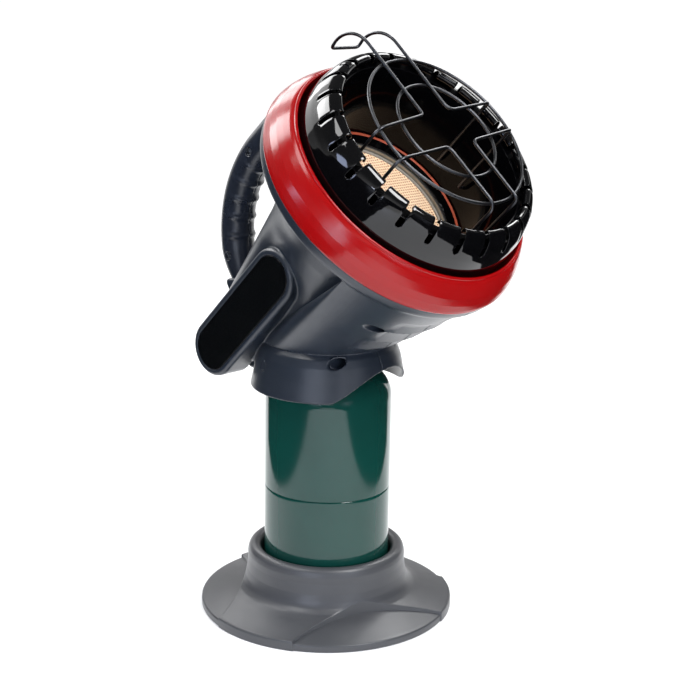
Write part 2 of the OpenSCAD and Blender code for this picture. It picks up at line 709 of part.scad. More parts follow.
bowl_rise = (bowl_mouth_r - bowl_throat_r) / (bowl_mouth_h + bowl_depth);
function bowl_r(z) = bowl_throat_r + (z + bowl_depth) * bowl_rise;
bowl_rim_r = dome_r - 6;           // the mouth's rim closes the space under the slots
bowl_flange_r = post_pcr + post_r;
foot_z = 4;                        // height where the guard's feet pass through the bowl
pilot_z = -6;                      // height of the pilot's three rods
pilot_dir = -82.7;
pilot_pitch = 9;
module reflector_bowl() color(enamel_black) head() difference() {
    rotate_extrude() polygon([
        [bowl_flange_r, -bowl_depth - steel_sheet], [bowl_flange_r, -bowl_depth],
        [bowl_throat_r + 1.5, -bowl_depth], [bowl_throat_r + 1.4, -bowl_depth + 1.6],
        [bowl_mouth_r + steel_sheet, bowl_mouth_h - steel_sheet], [bowl_rim_r, bowl_mouth_h - steel_sheet],
        [bowl_rim_r, bowl_mouth_h], [bowl_mouth_r, bowl_mouth_h], [bowl_throat_r, -bowl_depth],
        [bowl_throat_r, -bowl_depth - steel_sheet]
    ]);
    for (k = [0:3]) rotate([0, 0, 45 + 90 * k]) translate([post_pcr, 0, -bowl_depth - 3])
        cylinder(r = screw_r + 0.3, h = 6);
    for (p = guard_feet) rotate([0, 0, atan2(p[1], p[0])]) translate([bowl_throat_r - 4, 0, foot_z])
        rotate([0, 90, 0]) cylinder(r = wire_r + 0.6, h = 16);
    pilot_spots() rotate([0, 90, 0]) translate([0, 0, -8]) cylinder(r = rod_r + 0.4, h = 16);
}
rod_r = 1.6;
module pilot_spots() rotate([0, 0, pilot_dir]) for (k = [-1:1])
    translate([bowl_r(pilot_z), k * pilot_pitch, pilot_z]) children();

module reflector_screws() color(steel) head() for (k = [0:3]) rotate([0, 0, 45 + 90 * k])
    translate([post_pcr, 0, -bowl_depth]) difference() {
        union() {
            cylinder(r = 3, h = 2);
            translate([0, 0, -post_screw_len]) cylinder(r = screw_r, h = post_screw_len + eps);
        }
        for (a = [0, 90]) rotate([0, 0, a]) translate([-2, -0.4, 0.9]) cube([4, 0.8, 3]);
    }

// ---- Guard ----

function turned(p) = [p[0] * cos(guard_turn) - p[1] * sin(guard_turn),
    p[0] * sin(guard_turn) + p[1] * cos(guard_turn), p[2]];
function turned_all(ps) = [for (p = ps) turned(p)];
foot_len = 7;                    // how far a foot runs out past the leg
function outward(p) = let (q = [p[0], p[1], 0]) p + foot_len * unit(q);
function foot(x, y) = outward([x, y, foot_z]);
arm_tip = sqrt(pow(arm_len, 2) - pow(arm_gap, 2)) + 1;
leg_spots = [[-arm_tip, arm_gap], [arm_tip, arm_gap], [-arm_tip, -arm_gap], [-arm_gap, -arm_tip],
    [arm_tip, -arm_gap], [arm_gap, -arm_tip]];
guard_feet = [for (p = leg_spots) turned([p[0], p[1], 0])];
corner = 3;
weld_gap = 0.1;                    // room left for the weld where two wires cross
hook_r = 23;                       // sweep of the hook past the slotted ring
hook_steps = 6;
function hook_arc(x, a0, a1) = [for (i = [0:hook_steps]) let (a = a0 + (a1 - a0) * i / hook_steps)
    [x, hook_reach - hook_r + hook_r * sin(a), guard_h - hook_r + hook_r * cos(a)]];
// The wire that makes the hooked arm and the upper halves of the two side arms
hook_gap = arm_gap - 0.8;
hooked_line = concat(
    rounded([foot(-arm_tip, arm_gap), [-arm_tip, arm_gap, foot_z], [-arm_tip, arm_gap, guard_h],
        [-arm_gap, arm_gap, guard_h], [-hook_gap, hook_reach - hook_r - 1, guard_h]], corner),
    hook_arc(-hook_gap, 0, 84),
    rounded([[-hook_gap, hook_reach + 0.2, guard_h - hook_r], [-hook_gap, hook_reach + 0.5, hook_low],
        [hook_gap, hook_reach + 0.5, hook_low], [hook_gap, hook_reach + 0.2, guard_h - hook_r]], 3),
    hook_arc(hook_gap, 84, 0),
    rounded([[hook_gap, hook_reach - hook_r - 1, guard_h], [arm_gap, arm_gap, guard_h],
        [arm_tip, arm_gap, guard_h], [arm_tip, arm_gap, foot_z], foot(arm_tip, arm_gap)], corner));
function elbow_line(s) = rounded([foot(s * arm_tip, -arm_gap), [s * arm_tip, -arm_gap, foot_z],
    [s * arm_tip, -arm_gap, guard_h], [s * arm_gap, -arm_gap, guard_h], [s * arm_gap, -arm_tip, guard_h],
    [s * arm_gap, -arm_tip, foot_z], foot(s * arm_gap, -arm_tip)], corner);
module wire(line) sweep(turned_all(line), wire_r);
module guard_wire_hooked() color(steel) head() wire(hooked_line);
module guard_wire_left() color(steel) head() wire(elbow_line(1));
module guard_wire_right() color(steel) head() wire(elbow_line(-1));
module guard_hoop(r) head() translate([0, 0, guard_h - 2 * wire_r - weld_gap])
    rotate_extrude() translate([r, 0]) circle(r = wire_r, $fn = 24);
module guard_ring_large() color(steel) guard_hoop(guard_ring_r);
module guard_ring_small() color(steel) guard_hoop(guard_ring_small_r);

// ---- Burner ----

tile_back = -tile_depth - tile_t;
pan_r = tile_r + gasket_w;
pan_step_r = tile_r - 3;
pan_floor = tile_back - plenum_h;
pan_top = -bowl_depth - steel_sheet;
module burner_tile() color(ceramic) head() translate([0, 0, tile_back]) cylinder(r = tile_r, h = tile_t);
module tile_gasket() color(fibre) head() translate([0, 0, tile_back]) ring(pan_r, tile_r, tile_t);
module burner_pan() color(steel) head() difference() {
    rotate_extrude() polygon([
        [mix_r, pan_floor - steel_sheet], [pan_step_r + steel_sheet - 1, pan_floor - steel_sheet],
        [pan_step_r + steel_sheet, pan_floor], [pan_step_r + steel_sheet, tile_back - steel_sheet],
        [pan_r + steel_sheet, tile_back - steel_sheet], [pan_r + steel_sheet, pan_top - steel_sheet],
        [bowl_flange_r, pan_top - steel_sheet], [bowl_flange_r, pan_top], [pan_r, pan_top],
        [pan_r, tile_back], [pan_step_r, tile_back], [pan_step_r, pan_floor], [mix_r, pan_floor]
    ]);
    for (k = [0:3]) rotate([0, 0, 45 + 90 * k]) translate([post_pcr, 0, pan_top - 5])
        cylinder(r = screw_r + 0.3, h = 10);
}
module burner_trim_ring() color(rust) head() rotate_extrude() polygon([
    [pan_r + 1.4, pan_top], [bowl_throat_r - 0.3, pan_top], [bowl_throat_r - 0.2, pan_top + 7],
    [bowl_throat_r - 1.4, pan_top + 7], [pan_r + 1, pan_top + 1.2]
]);
module mixing_tube() color(steel) head() rotate_extrude() polygon([
    [mix_r - 1, pan_floor + 1], [mix_r + 4, pan_floor + 1], [mix_r + 4, pan_floor], [mix_r, pan_floor],
    [mix_r, pan_floor - mix_len + 7], [mix_r + 4, pan_floor - mix_len], [mix_r + 3, pan_floor - mix_len],
    [mix_r - 1, pan_floor - mix_len + 7]
]);

// ---- Gas train ----

// Levels inside the back, as depths below the back face
flange_low_t = 2;
button_low = -shell_t - seat_gap - flange_low_t;
button_proud = 0.5;                // what still stands out of a pressed button
spring_wire = 0.6;
start_spring_r = 5;
off_spring_r = 4.2;
spring_room = 7.2;                 // left under the start button when it is pressed
bracket_z = button_low - start_travel - spring_room;
bracket_t = 2;
piezo_x = 11.9;
piezo_r = 4.4;
piezo_len = 15.5;
piezo_low = bracket_z - 11.5;
piezo_bore = 7;
plunger_low = bracket_z + 2;

tan_tilt = tan(head_tilt);
// Where the start button's axis meets the head's axis, as a depth below the back face
jet_depth = (start_y + (start_z - axis_z) * tan_tilt) / (back_c - back_s * tan_tilt);
jet_y = start_y - jet_depth * back_c;
jet_t = -flange_dist - jet_y / sin(head_tilt);
jet_tip = pan_floor - mix_len - 4;
holder_r = 5.5;
pipe_r = 4;
jet_len = 4;
module holder_shape() head() translate([0, 0, jet_t - holder_r])
    cylinder(r = holder_r, h = jet_tip - jet_len - jet_t + holder_r);
module jet_holder() color(brass) holder_shape();
module gas_jet() color(brass) head() translate([0, 0, jet_tip - jet_len]) difference() {
    cylinder(r = 3, h = jet_len);
    translate([0, 0, 1]) cylinder(r = 0.8, h = 5);
}
valve_r = 9.5;
valve_len = 26;
valve_neck_len = 16;
valve_neck_r = piezo_x - piezo_r - 1;
valve_low = bracket_z - bracket_t - valve_len;
stem_r = 3;
stem_dip = 8;                      // how far the stem reaches into the valve
module gas_pipe() color(brass) difference() {
    back() translate([0, 0, -jet_depth]) cylinder(r = pipe_r, h = jet_depth + valve_low);
    holder_shape();
    outlet_tube(run_gap, 0);
}
outlet_r = 3.5;
reg_r = 24;
outlet_dip = 3;                    // how far the outlet reaches into the regulator
outlet_len = start_y + (valve_low + 5) * back_c - reg_r + outlet_dip; // to the middle of the valve
module valve_body() color(brass) difference() {
    back() translate([0, 0, valve_low]) {
        cylinder(r = valve_r, h = valve_len - valve_neck_len);
        cylinder(r = valve_neck_r, h = valve_len);
    }
    back() translate([0, 0, valve_low + valve_len - stem_dip - start_travel - 2])
        cylinder(r = stem_r + run_gap, h = 20);
    outlet_tube(run_gap, 0);
}
module outlet_tube(gap, shift) translate([0, reg_r - outlet_dip, reg_low + reg_base_h + outlet_r + 1.5])
    rotate([-90, 0, 0]) cylinder(r = outlet_r + gap, h = outlet_len - shift);
module regulator_outlet() color(brass) outlet_tube(0, 0.2);
module valve_stem() color(steel) back() translate([0, 0, bracket_z - bracket_t - stem_dip])
    cylinder(r = stem_r, h = button_low - bracket_z + bracket_t + stem_dip);
bracket_up = 6.4;
bracket_down = 13;
module valve_bracket() color(steel) back() difference() {
    union() {
        translate([-back_x + shell_t, -bracket_up, bracket_z - bracket_t])
            cube([2 * (back_x - shell_t), bracket_up + bracket_down, bracket_t]);
        translate([-grip_r + shell_t, -button_pitch - off_spring_r - 1, bracket_z - bracket_t])
            cube([2 * (grip_r - shell_t), button_pitch + off_spring_r + 1, bracket_t]);
    }
    translate([0, 0, bracket_z - 10]) cylinder(r = stem_r + 0.4, h = 20);
    translate([piezo_x, 0, bracket_z - 10]) cylinder(r = piezo_r, h = 20);
    translate([0, -button_pitch, bracket_z - 10]) cylinder(r = off_shaft_r + 0.3, h = 20);
}

fitting_r = 17;
seal_t = 1.5;
fitting_low = thread_z + thread_lead;
fitting_top = deck_z + shell_t;
fitting_hex_h = 5;
fitting_neck_r = 7;
fitting_neck_h = 4;
reg_h = 19;
reg_base_h = 5;
reg_wall = 4;
reg_floor_t = 12;                  // solid under the regulator's chamber
reg_low = fitting_top;
reg_split = reg_low + reg_h;
diaphragm_t = 1;
cover_lip_t = 2;
cover_h = 10.5;
cover_wall = 3;
cover_neck_r = reg_r - 10.5;
reg_spring_r = 7;
reg_spring_wire = 0.7;
module inlet_fitting() color(brass) difference() {
    union() {
        translate([0, 0, fitting_low]) cylinder(r = thread_r + 3, h = fitting_top - fitting_low - fitting_hex_h + eps);
        translate([0, 0, fitting_top - fitting_hex_h]) cylinder(r = fitting_r, h = fitting_hex_h, $fn = 6);
        translate([0, 0, fitting_top - eps]) cylinder(r = fitting_neck_r, h = fitting_neck_h + eps);
    }
    translate([0, 0, fitting_low - 1]) cylinder(r = thread_r + run_gap, h = thread_top + seal_t - fitting_low + 1);
    cylinder(r = probe_r + 0.1, h = 400);
}
probe_r = 1.4;
module inlet_seal() color(rubber) translate([0, 0, thread_top]) ring(thread_r - 0.2, 6, seal_t);
module inlet_probe() color(steel) translate([0, 0, pin_top + seat_gap])
    cylinder(r = probe_r, h = fitting_top + 2 - pin_top);

module regulator_body() color(steel) difference() {
    union() {
        translate([0, 0, reg_low]) cylinder(r = reg_r - reg_wall + 0.5, h = reg_base_h);
        translate([0, 0, reg_low + reg_base_h]) cylinder(r = reg_r, h = reg_h - reg_base_h);
    }
    translate([0, 0, reg_low - 1]) cylinder(r = fitting_neck_r, h = fitting_neck_h + 1);
    translate([0, 0, reg_low + reg_floor_t]) cylinder(r = reg_r - reg_wall, h = reg_h);
    translate([0, 0, reg_low]) cylinder(r = probe_r + 0.6, h = reg_h);
    outlet_tube(run_gap, 0);
}
module regulator_diaphragm() color(rubber) translate([0, 0, reg_split]) cylinder(r = reg_r, h = diaphragm_t);
module regulator_spring() color(steel) sweep(helix(reg_spring_r, reg_split + diaphragm_t + reg_spring_wire + 0.1,
    reg_split + diaphragm_t + cover_h - cover_wall + 1.8 - reg_spring_wire - 0.1, 4, 16), reg_spring_wire, 6);
module regulator_cover() color(steel) translate([0, 0, reg_split + diaphragm_t]) difference() {
    union() {
        cylinder(r = reg_r, h = cover_lip_t);
        cylinder(r = cover_neck_r, h = cover_h);
    }
    translate([0, 0, -1]) cylinder(r = cover_neck_r - cover_wall, h = cover_h - cover_wall + 2.8);
}

// ---- Buttons and igniter ----

plunger_r = 2.3;
off_shaft_r = 2.5;
// where the flange is cut flat beside the foot's screw boss
flange_flat = back_down - 5 - foot_in[0] * back_s - foot_in[1] * back_c - boss_r - 0.5;
module start_button() color(enamel_red) back() {
    difference() {
        translate([0, 0, button_low]) cylinder(r = piezo_x + plunger_r + 0.1, h = flange_low_t);
        translate([-50, flange_flat, button_low - 1]) cube([100, 50, flange_low_t + 2]);
    }
    translate([0, 0, button_low]) cylinder(r = start_r, h = start_travel + button_proud - 1 - button_low);
    translate([0, 0, start_travel + button_proud - 1]) cylinder(r1 = start_r, r2 = start_r - 1.5, h = 1);
}
module start_button_spring() color(steel) back()
    sweep(helix(start_spring_r, bracket_z + spring_wire + 0.1, button_low - start_travel - spring_wire - 0.1, 4, 16), spring_wire, 6);
module off_button() color(rubber) back() translate([0, -button_pitch, 0]) {
    translate([0, 0, button_low]) cylinder(r = off_r + 2, h = flange_low_t);
    translate([0, 0, button_low]) cylinder(r = off_r, h = off_travel + button_proud - 0.8 - button_low);
    translate([0, 0, off_travel + button_proud - 0.8]) cylinder(r1 = off_r, r2 = off_r - 1, h = 0.8);
    translate([0, 0, bracket_z - bracket_t - 2]) cylinder(r = off_shaft_r, h = button_low - bracket_z + bracket_t + 2);
}
module off_button_spring() color(steel) back() translate([0, -button_pitch, 0])
    sweep(helix(off_spring_r, bracket_z + spring_wire + 0.1, button_low - off_travel - spring_wire - 0.1, 4, 16), spring_wire, 6);
module piezo_igniter() color(rubber) back() translate([piezo_x, 0, piezo_low]) difference() {
    cylinder(r = piezo_r, h = piezo_len);
    translate([0, 0, piezo_len - piezo_bore]) cylinder(r = plunger_r + 0.1, h = piezo_bore + 1);
}
module piezo_plunger() color(steel) back() translate([piezo_x, 0, plunger_low]) cylinder(r = plunger_r, h = button_low - plunger_low);

// ---- Pilot ----

module pilot_bracket() color(steel) head() difference() {
    rotate([0, 0, pilot_dir]) translate([bowl_r(pilot_z) + 3.5, -pilot_pitch - 5, -bowl_depth])
        cube([1.2, 2 * pilot_pitch + 10, bowl_depth + pilot_z + 5]);
    pilot_spots() rotate([0, 90, 0]) translate([0, 0, -8]) cylinder(r = rod_r + 0.1, h = 30);
}
module rod(k, tip, r) head() rotate([0, 0, pilot_dir]) translate([tile_r - 1 - tip, k * pilot_pitch, pilot_z])
    rotate([0, 90, 0]) cylinder(r = r, h = bowl_r(pilot_z) + 8 - tile_r + 1 + tip);
module pilot_burner() color(brass) rod(0, 0, rod_r);
module thermocouple() color(steel) rod(1, 4, rod_r);
module spark_electrode() color(fibre) rod(-1, 2, rod_r);

// ---- Tip-over switch ----

ball_r = 4.5;
case_w = 12;
case_l = 20;
case_wall = 1.2;
ball_gap = 0.2;
ball_run = case_l / 2 - case_wall - ball_r - ball_gap; // each way from the middle
tip_at = [32, -18];
module tip_switch_case() color(rubber) translate([tip_at[0], tip_at[1], deck_z + shell_t]) difference() {
    translate([-case_w / 2, -case_l / 2, 0]) cube([case_w, case_l, case_w]);
    translate([0, -ball_run, case_w / 2]) rotate([-90, 0, 0]) cylinder(r = ball_r + ball_gap, h = 2 * ball_run);
    for (s = [-1, 1]) translate([0, s * ball_run, case_w / 2]) sphere(r = ball_r + ball_gap, $fn = 48);
}
module tip_switch_ball() color(steel) translate([tip_at[0], tip_at[1], deck_z + shell_t + case_w / 2])
    sphere(r = ball_r, $fn = 48);

stand_base();
cylinder_lower_shell();
cylinder_upper_shell();
cylinder_valve_boss();
check_valve_core();
check_valve_pin();
relief_valve();
housing_left();
housing_right();
handle_left();
handle_right();
housing_screws();
label_plate_left();
label_plate_right();
front_ring();
slotted_ring();
reflector_bowl();
reflector_screws();
guard_wire_hooked();
guard_wire_left();
guard_wire_right();
guard_ring_large();
guard_ring_small();
burner_tile();
tile_gasket();
burner_trim_ring();
burner_pan();
mixing_tube();
gas_jet();
jet_holder();
gas_pipe();
inlet_fitting();
inlet_seal();
inlet_probe();
regulator_body();
regulator_diaphragm();
regulator_spring();
regulator_cover();
regulator_outlet();
valve_body();
valve_stem();
valve_bracket();
start_button();
start_button_spring();
off_button();
off_button_spring();
piezo_igniter();
piezo_plunger();
pilot_bracket();
pilot_burner();
thermocouple();
spark_electrode();
tip_switch_case();
tip_switch_ball();
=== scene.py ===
"""Portable radiant propane heater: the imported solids, dressed with moulded, enamelled and drawn surfaces.

Sizes are millimetres up to the moment a mesh is made, and metres in the mesh and in the studio.
World axes: +Z up along the fuel cylinder, the head looks towards -Y and up, the side pods to -X and +X.
Head axes: x as in the world, v up the head's face, t out along the head's axis from the flange's front.
"""

import logging
import math
from dataclasses import dataclass, field
from enum import Enum
from typing import Callable, Sequence

import bmesh
import bpy
import numpy as np
from mathutils import Matrix, Vector


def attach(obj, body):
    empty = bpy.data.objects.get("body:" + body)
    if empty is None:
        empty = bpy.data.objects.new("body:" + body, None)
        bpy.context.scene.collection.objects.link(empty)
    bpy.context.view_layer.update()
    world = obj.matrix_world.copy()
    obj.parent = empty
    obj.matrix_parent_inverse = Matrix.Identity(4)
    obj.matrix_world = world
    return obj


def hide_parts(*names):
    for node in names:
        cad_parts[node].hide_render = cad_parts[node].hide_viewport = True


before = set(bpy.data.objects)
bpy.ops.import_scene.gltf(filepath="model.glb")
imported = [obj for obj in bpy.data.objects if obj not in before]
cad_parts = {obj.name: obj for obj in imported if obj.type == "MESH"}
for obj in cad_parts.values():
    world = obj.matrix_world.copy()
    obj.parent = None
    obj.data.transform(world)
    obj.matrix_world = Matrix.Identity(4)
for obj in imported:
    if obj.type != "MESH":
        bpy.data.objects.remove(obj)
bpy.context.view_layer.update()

log = logging.getLogger("heater")
MM = 0.001
# Points closer than this, in metres, are one point
WELD = 2e-6
# Noise lies mostly between these two values, so that patterns are stretched between them
NOISE_LOW, NOISE_HIGH = 0.3, 0.7
QUICK_CELL, FULL_CELL, HANDLE_SHARE = 1.6, 1.1, 0.8


class Body(Enum):
    """The bodies that the new pieces ride on."""

    STAND = "stand"
    CYLINDER = "cylinder"
    HEATER = "heater"
    START = "start"
    OFF = "off"


# ---------------------------------------------------------------- frames


@dataclass(frozen=True)
class Place:
    """A frame that stands in the world: turned about X, then moved."""

    turn: float
    origin: tuple[float, float, float]

    def to_world(self, p: np.ndarray) -> np.ndarray:
        """Turns points of this frame into world points.

        Args:
            p: Points, with x, y and z in the last axis.

        Returns:
            The same points in the world.
        """
        c, s = math.cos(math.radians(self.turn)), math.sin(math.radians(self.turn))
        x, y, z = p[..., 0], p[..., 1], p[..., 2]
        return np.stack([x, y * c - z * s, y * s + z * c], axis=-1) + np.array(self.origin)

    def from_world(self, p: np.ndarray) -> np.ndarray:
        """Turns world points into points of this frame.

        Args:
            p: World points, with x, y and z in the last axis.

        Returns:
            The same points in this frame.
        """
        c, s = math.cos(math.radians(self.turn)), math.sin(math.radians(self.turn))
        q = p - np.array(self.origin)
        return np.stack([q[..., 0], q[..., 1] * c + q[..., 2] * s, q[..., 2] * c - q[..., 1] * s], axis=-1)


# The head's axis leaves the upright axis at AXIS_Z, and the flange's front stands FLANGE_DIST along it
HEAD_TILT = 45.0
FLANGE_DIST = 88.6
AXIS_Z = 273.3
HEAD = Place(
    HEAD_TILT,
    (
        0.0,
        -FLANGE_DIST * math.sin(math.radians(HEAD_TILT)),
        AXIS_Z + FLANGE_DIST * math.cos(math.radians(HEAD_TILT)),
    ),
)
UPRIGHT = Place(0.0, (0.0, 0.0, 0.0))
# The back block's face leans by BACK_LEAN, with the start button's middle at START_SPOT
BACK_LEAN = 31.0
START_SPOT = (0.0, 85.9, 211.6)
BACK = Place(-(90.0 + BACK_LEAN), START_SPOT)
# The housing's screws as (y, z): at the head's foot, at the neck and in the back block
FOOT_SCREW = (68.66, 199.9)
SHELL_SCREWS = ((-86.0, 246.5), (-41.0, 209.5), FOOT_SCREW)
# Groove between the halves of a split moulding, to each side of the mid plane, and its edge's rounding
SPLIT_GAP = 0.12
SPLIT_EDGE = 0.5


# ---------------------------------------------------------------- meshes


def quads(rows: int, cols: int, wrap_rows: bool = False, wrap_cols: bool = False) -> np.ndarray:
    """Quads between neighbouring points of a grid: (i, j), (i + 1, j), (i + 1, j + 1), (i, j + 1).

    Args:
        rows: Rows of the grid.
        cols: Columns of the grid.
        wrap_rows: Whether the last row joins the first.
        wrap_cols: Whether the last column joins the first.

    Returns:
        An array of quads.
    """
    i = np.arange(rows if wrap_rows else rows - 1)
    j = np.arange(cols if wrap_cols else cols - 1)
    a, b = np.meshgrid(i, j, indexing="ij")
    a1, b1 = (a + 1) % rows, (b + 1) % cols
    corners = [a * cols + b, a1 * cols + b, a1 * cols + b1, a * cols + b1]
    return np.stack(corners, axis=-1).reshape(-1, 4)


def in_scene(name: str, data: bpy.types.ID) -> bpy.types.Object:
    """Makes an object of a mesh, a lamp or a camera and links it into the scene.

    Args:
        name: Name of the object.
        data: What it shows.

    Returns:
        The object, at the origin.
    """
    made = bpy.data.objects.new(name, data)
    bpy.context.scene.collection.objects.link(made)
    return made


def make_piece(
    name: str,
    points: np.ndarray,
    faces: np.ndarray,
    weld: bool = True,
    crease: float = 180.0,
    normals: np.ndarray | None = None,
) -> bpy.types.Object:
    """Makes a mesh object from world points in millimetres, with faces that point outwards.

    Args:
        name: Name of the piece.
        points: World points.
        faces: Quads as indices of points.
        weld: Whether points at the same place are joined and the normals worked out again.
        crease: Angle in degrees past which an edge stays sharp.
        normals: Normals at the points, where the shape's own field gives them.

    Returns:
        The new object, at the origin.
    """
    mesh = bpy.data.meshes.new(name)
    mesh.from_pydata((points.reshape(-1, 3) * MM).tolist(), [], faces.tolist())
    if weld:
        work = bmesh.new()
        work.from_mesh(mesh)
        bmesh.ops.remove_doubles(work, verts=work.verts, dist=WELD)
        bmesh.ops.recalc_face_normals(work, faces=work.faces)
        work.to_mesh(mesh)
        work.free()
    mesh.shade_smooth()
    if crease < 180.0:
        mesh.set_sharp_from_angle(angle=math.radians(crease))
    if normals is not None:
        mesh.normals_split_custom_set_from_vertices(normals.tolist())
    return in_scene(name, mesh)


def softened(
    points: Sequence, radius: float | np.ndarray, steps: int = 5, closed: bool = False
) -> np.ndarray:
    """A line with its corners rounded: the curve (1-s)^2 a + 2 s (1-s) p + s^2 b from tangent point a to b.

    Args:
        points: Corners of the line, in two or three dimensions.
        radius: Radius of the rounding, one number or one for each corner, limited by the sides' lengths.
        steps: Points on each rounded corner.
        closed: Whether the last corner joins the first.

    Returns:
        The rounded line.
    """
    p = np.asarray(points, float)
    back, ahead = np.roll(p, 1, 0) - p, np.roll(p, -1, 0) - p
    back_l, ahead_l = np.linalg.norm(back, axis=1), np.linalg.norm(ahead, axis=1)
    back, ahead = back / back_l[:, None], ahead / ahead_l[:, None]
    half = np.arccos(np.clip((back * ahead).sum(1), -1, 1)) / 2
    most = 0.45 * np.minimum(back_l, ahead_l)
    cut = np.minimum(radius / np.tan(np.maximum(half, 1e-3)), most)
    s = np.linspace(0, 1, steps)[None, :, None]
    a, b = (p + back * cut[:, None])[:, None], (p + ahead * cut[:, None])[:, None]
    line = ((1 - s) ** 2 * a + 2 * s * (1 - s) * p[:, None] + s**2 * b).reshape(-1, p.shape[1])
    if not closed:
        line = np.vstack([p[:1], line[steps:-steps], p[-1:]])
    keep = np.r_[True, np.linalg.norm(np.diff(line, axis=0), axis=1) > 1e-3]
    return line[keep]


def run_along(line: np.ndarray) -> np.ndarray:
    """Distance along a line from its first point to each of its points."""
    return np.r_[0, np.cumsum(np.linalg.norm(np.diff(line, axis=0), axis=1))]


def resampled(line: np.ndarray, step: float) -> np.ndarray:
    """A line with points at even distances along it.

    Args:
        line: Points of the line.
        step: Wanted distance between points.

    Returns:
        The new points.
    """
    s = run_along(line)
    count = max(2, int(round(s[-1] / step)))
    at = np.linspace(0, s[-1], count + 1)
    return np.stack([np.interp(at, s, line[:, k]) for k in range(line.shape[1])], axis=1)


def round_angles(count: int) -> np.ndarray:
    """Even angles round a full turn, in radians, the last one short of the first."""
    return np.linspace(0, 2 * np.pi, count, endpoint=False)


def revolved(profile: np.ndarray, count: int, closed: bool = False) -> tuple[np.ndarray, np.ndarray]:
    """A profile (r, z) turned about Z: the point (r cos a, r sin a, z) for each angle a.

    Args:
        profile: Points of the profile.
        count: Steps round the axis.
        closed: Whether the profile's last point joins its first.

    Returns:
        The points and the quads.
    """
    a = round_angles(count)
    r, z = profile[:, :1], profile[:, 1:]
    points = np.stack([r * np.cos(a), r * np.sin(a), z + 0 * a], axis=-1)
    return points, quads(len(profile), count, wrap_rows=closed, wrap_cols=True)


def turned(
    name: str,
    profile: np.ndarray,
    count: int,
    place: Place = UPRIGHT,
    closed: bool = False,
    crease: float = 180.0,
) -> bpy.types.Object:
    """Makes a piece by turning a profile (r, z) about the Z axis of its frame.

    Args:
        name: Name of the piece.
        profile: Points of the profile.
        count: Steps round the axis.
        place: The frame that the profile stands in.
        closed: Whether the profile's last point joins its first.
        crease: Angle in degrees past which an edge stays sharp.

    Returns:
        The new object.
    """
    points, faces = revolved(profile, count, closed)
    return make_piece(name, place.to_world(points), faces, crease=crease)


def tube(
    path: np.ndarray, radius: float, sides: int, closed: bool = False
) -> tuple[np.ndarray, np.ndarray]:
    """A round section carried along a path: p + r (cos a n + sin a b), with n and b across the path.

    Args:
        path: Points of the path.
        radius: Radius of the section.
        sides: Points round the section.
        closed: Whether the path comes back to its start.

    Returns:
        The points and the quads. An open tube is closed by its ends drawn together in a dome.
    """
    r = np.full(len(path), radius)
    if not closed:
        # shares of the radius on the dome's rings, from its tip outwards
        ends = np.array([0.0, 0.55, 0.9])
        first, last = path[0] - path[1], path[-1] - path[-2]
        first, last = first / np.linalg.norm(first), last / np.linalg.norm(last)
        bulge = np.sqrt(1 - ends**2)[:, None]
        path = np.vstack([path[0] + first * bulge * r[0], path, (path[-1] + last * bulge * r[-1])[::-1]])
        r = np.r_[ends * r[0], r, (ends * r[-1])[::-1]]
    along = np.roll(path, -1, 0) - np.roll(path, 1, 0) if closed else np.gradient(path, axis=0)
    along /= np.linalg.norm(along, axis=1)[:, None]
    # a direction that no path here runs along
    aside = np.array([0.577, 0.577, 0.577])
    n = aside - (along @ aside)[:, None] * along
    n /= np.linalg.norm(n, axis=1)[:, None]
    b = np.cross(along, n)
    a = round_angles(sides)[None, :, None]
    points = path[:, None] + r[:, None, None] * (np.cos(a) * n[:, None] + np.sin(a) * b[:, None])
    return points, quads(len(path), sides, wrap_rows=closed, wrap_cols=True)


def polygon_distance(corners: np.ndarray, p: np.ndarray) -> np.ndarray:
    """Signed distance from points to a closed polygon: the least distance to a side, negative inside.

    Args:
        corners: Corners of the polygon, in order.
        p: Points, one in each row.

    Returns:
        One distance for each point.
    """
    a, b = corners, np.roll(corners, -1, 0)
    ab = b - a
    ap = p[:, None] - a
    s = np.clip((ap * ab).sum(-1) / (ab**2).sum(-1), 0, 1)
    far = np.linalg.norm(ap - s[..., None] * ab, axis=-1).min(1)
    over = (a[:, 1] > p[:, 1:]) != (b[:, 1] > p[:, 1:])
    rise = np.where(ab[:, 1] == 0, 1e-9, ab[:, 1])
    cross = p[:, :1] < a[:, 0] + ab[:, 0] * (p[:, 1:] - a[:, 1]) / rise
    inside = (over & cross).sum(1) % 2 == 1
    return np.where(inside, -far, far)


@dataclass
class Outline:
    """A closed outline whose signed distance is kept in a table, to be read between its entries."""

    corners: Sequence
    step: float = 1.0
    margin: float = 30.0
    low: np.ndarray = field(init=False)
    table: np.ndarray = field(init=False)

    def __post_init__(self) -> None:
        """Works the table out."""
        corners = np.asarray(self.corners, float)
        self.low = corners.min(0) - self.margin
        count = ((corners.max(0) + self.margin - self.low) / self.step).astype(int) + 2
        grid = np.stack(np.meshgrid(*[np.arange(n) for n in count], indexing="ij"), axis=-1)
        points = grid.reshape(-1, 2) * self.step + self.low
        self.table = polygon_distance(corners, points).reshape(count)

    def __call__(self, a: np.ndarray, b: np.ndarray) -> np.ndarray:
        """Signed distance at (a, b), as a blend of the four entries round it.

        Args:
            a: First coordinates.
            b: Second coordinates.

        Returns:
            The distances.
        """
        n, m = self.table.shape
        u = np.clip((a - self.low[0]) / self.step, 0, n - 1.001)
        w = np.clip((b - self.low[1]) / self.step, 0, m - 1.001)
        i, j = u.astype(int), w.astype(int)
        u, w = u - i, w - j
        t = self.table
        low = t[i, j] * (1 - u) + t[i + 1, j] * u
        high = t[i, j + 1] * (1 - u) + t[i + 1, j + 1] * u
        return low * (1 - w) + high * w


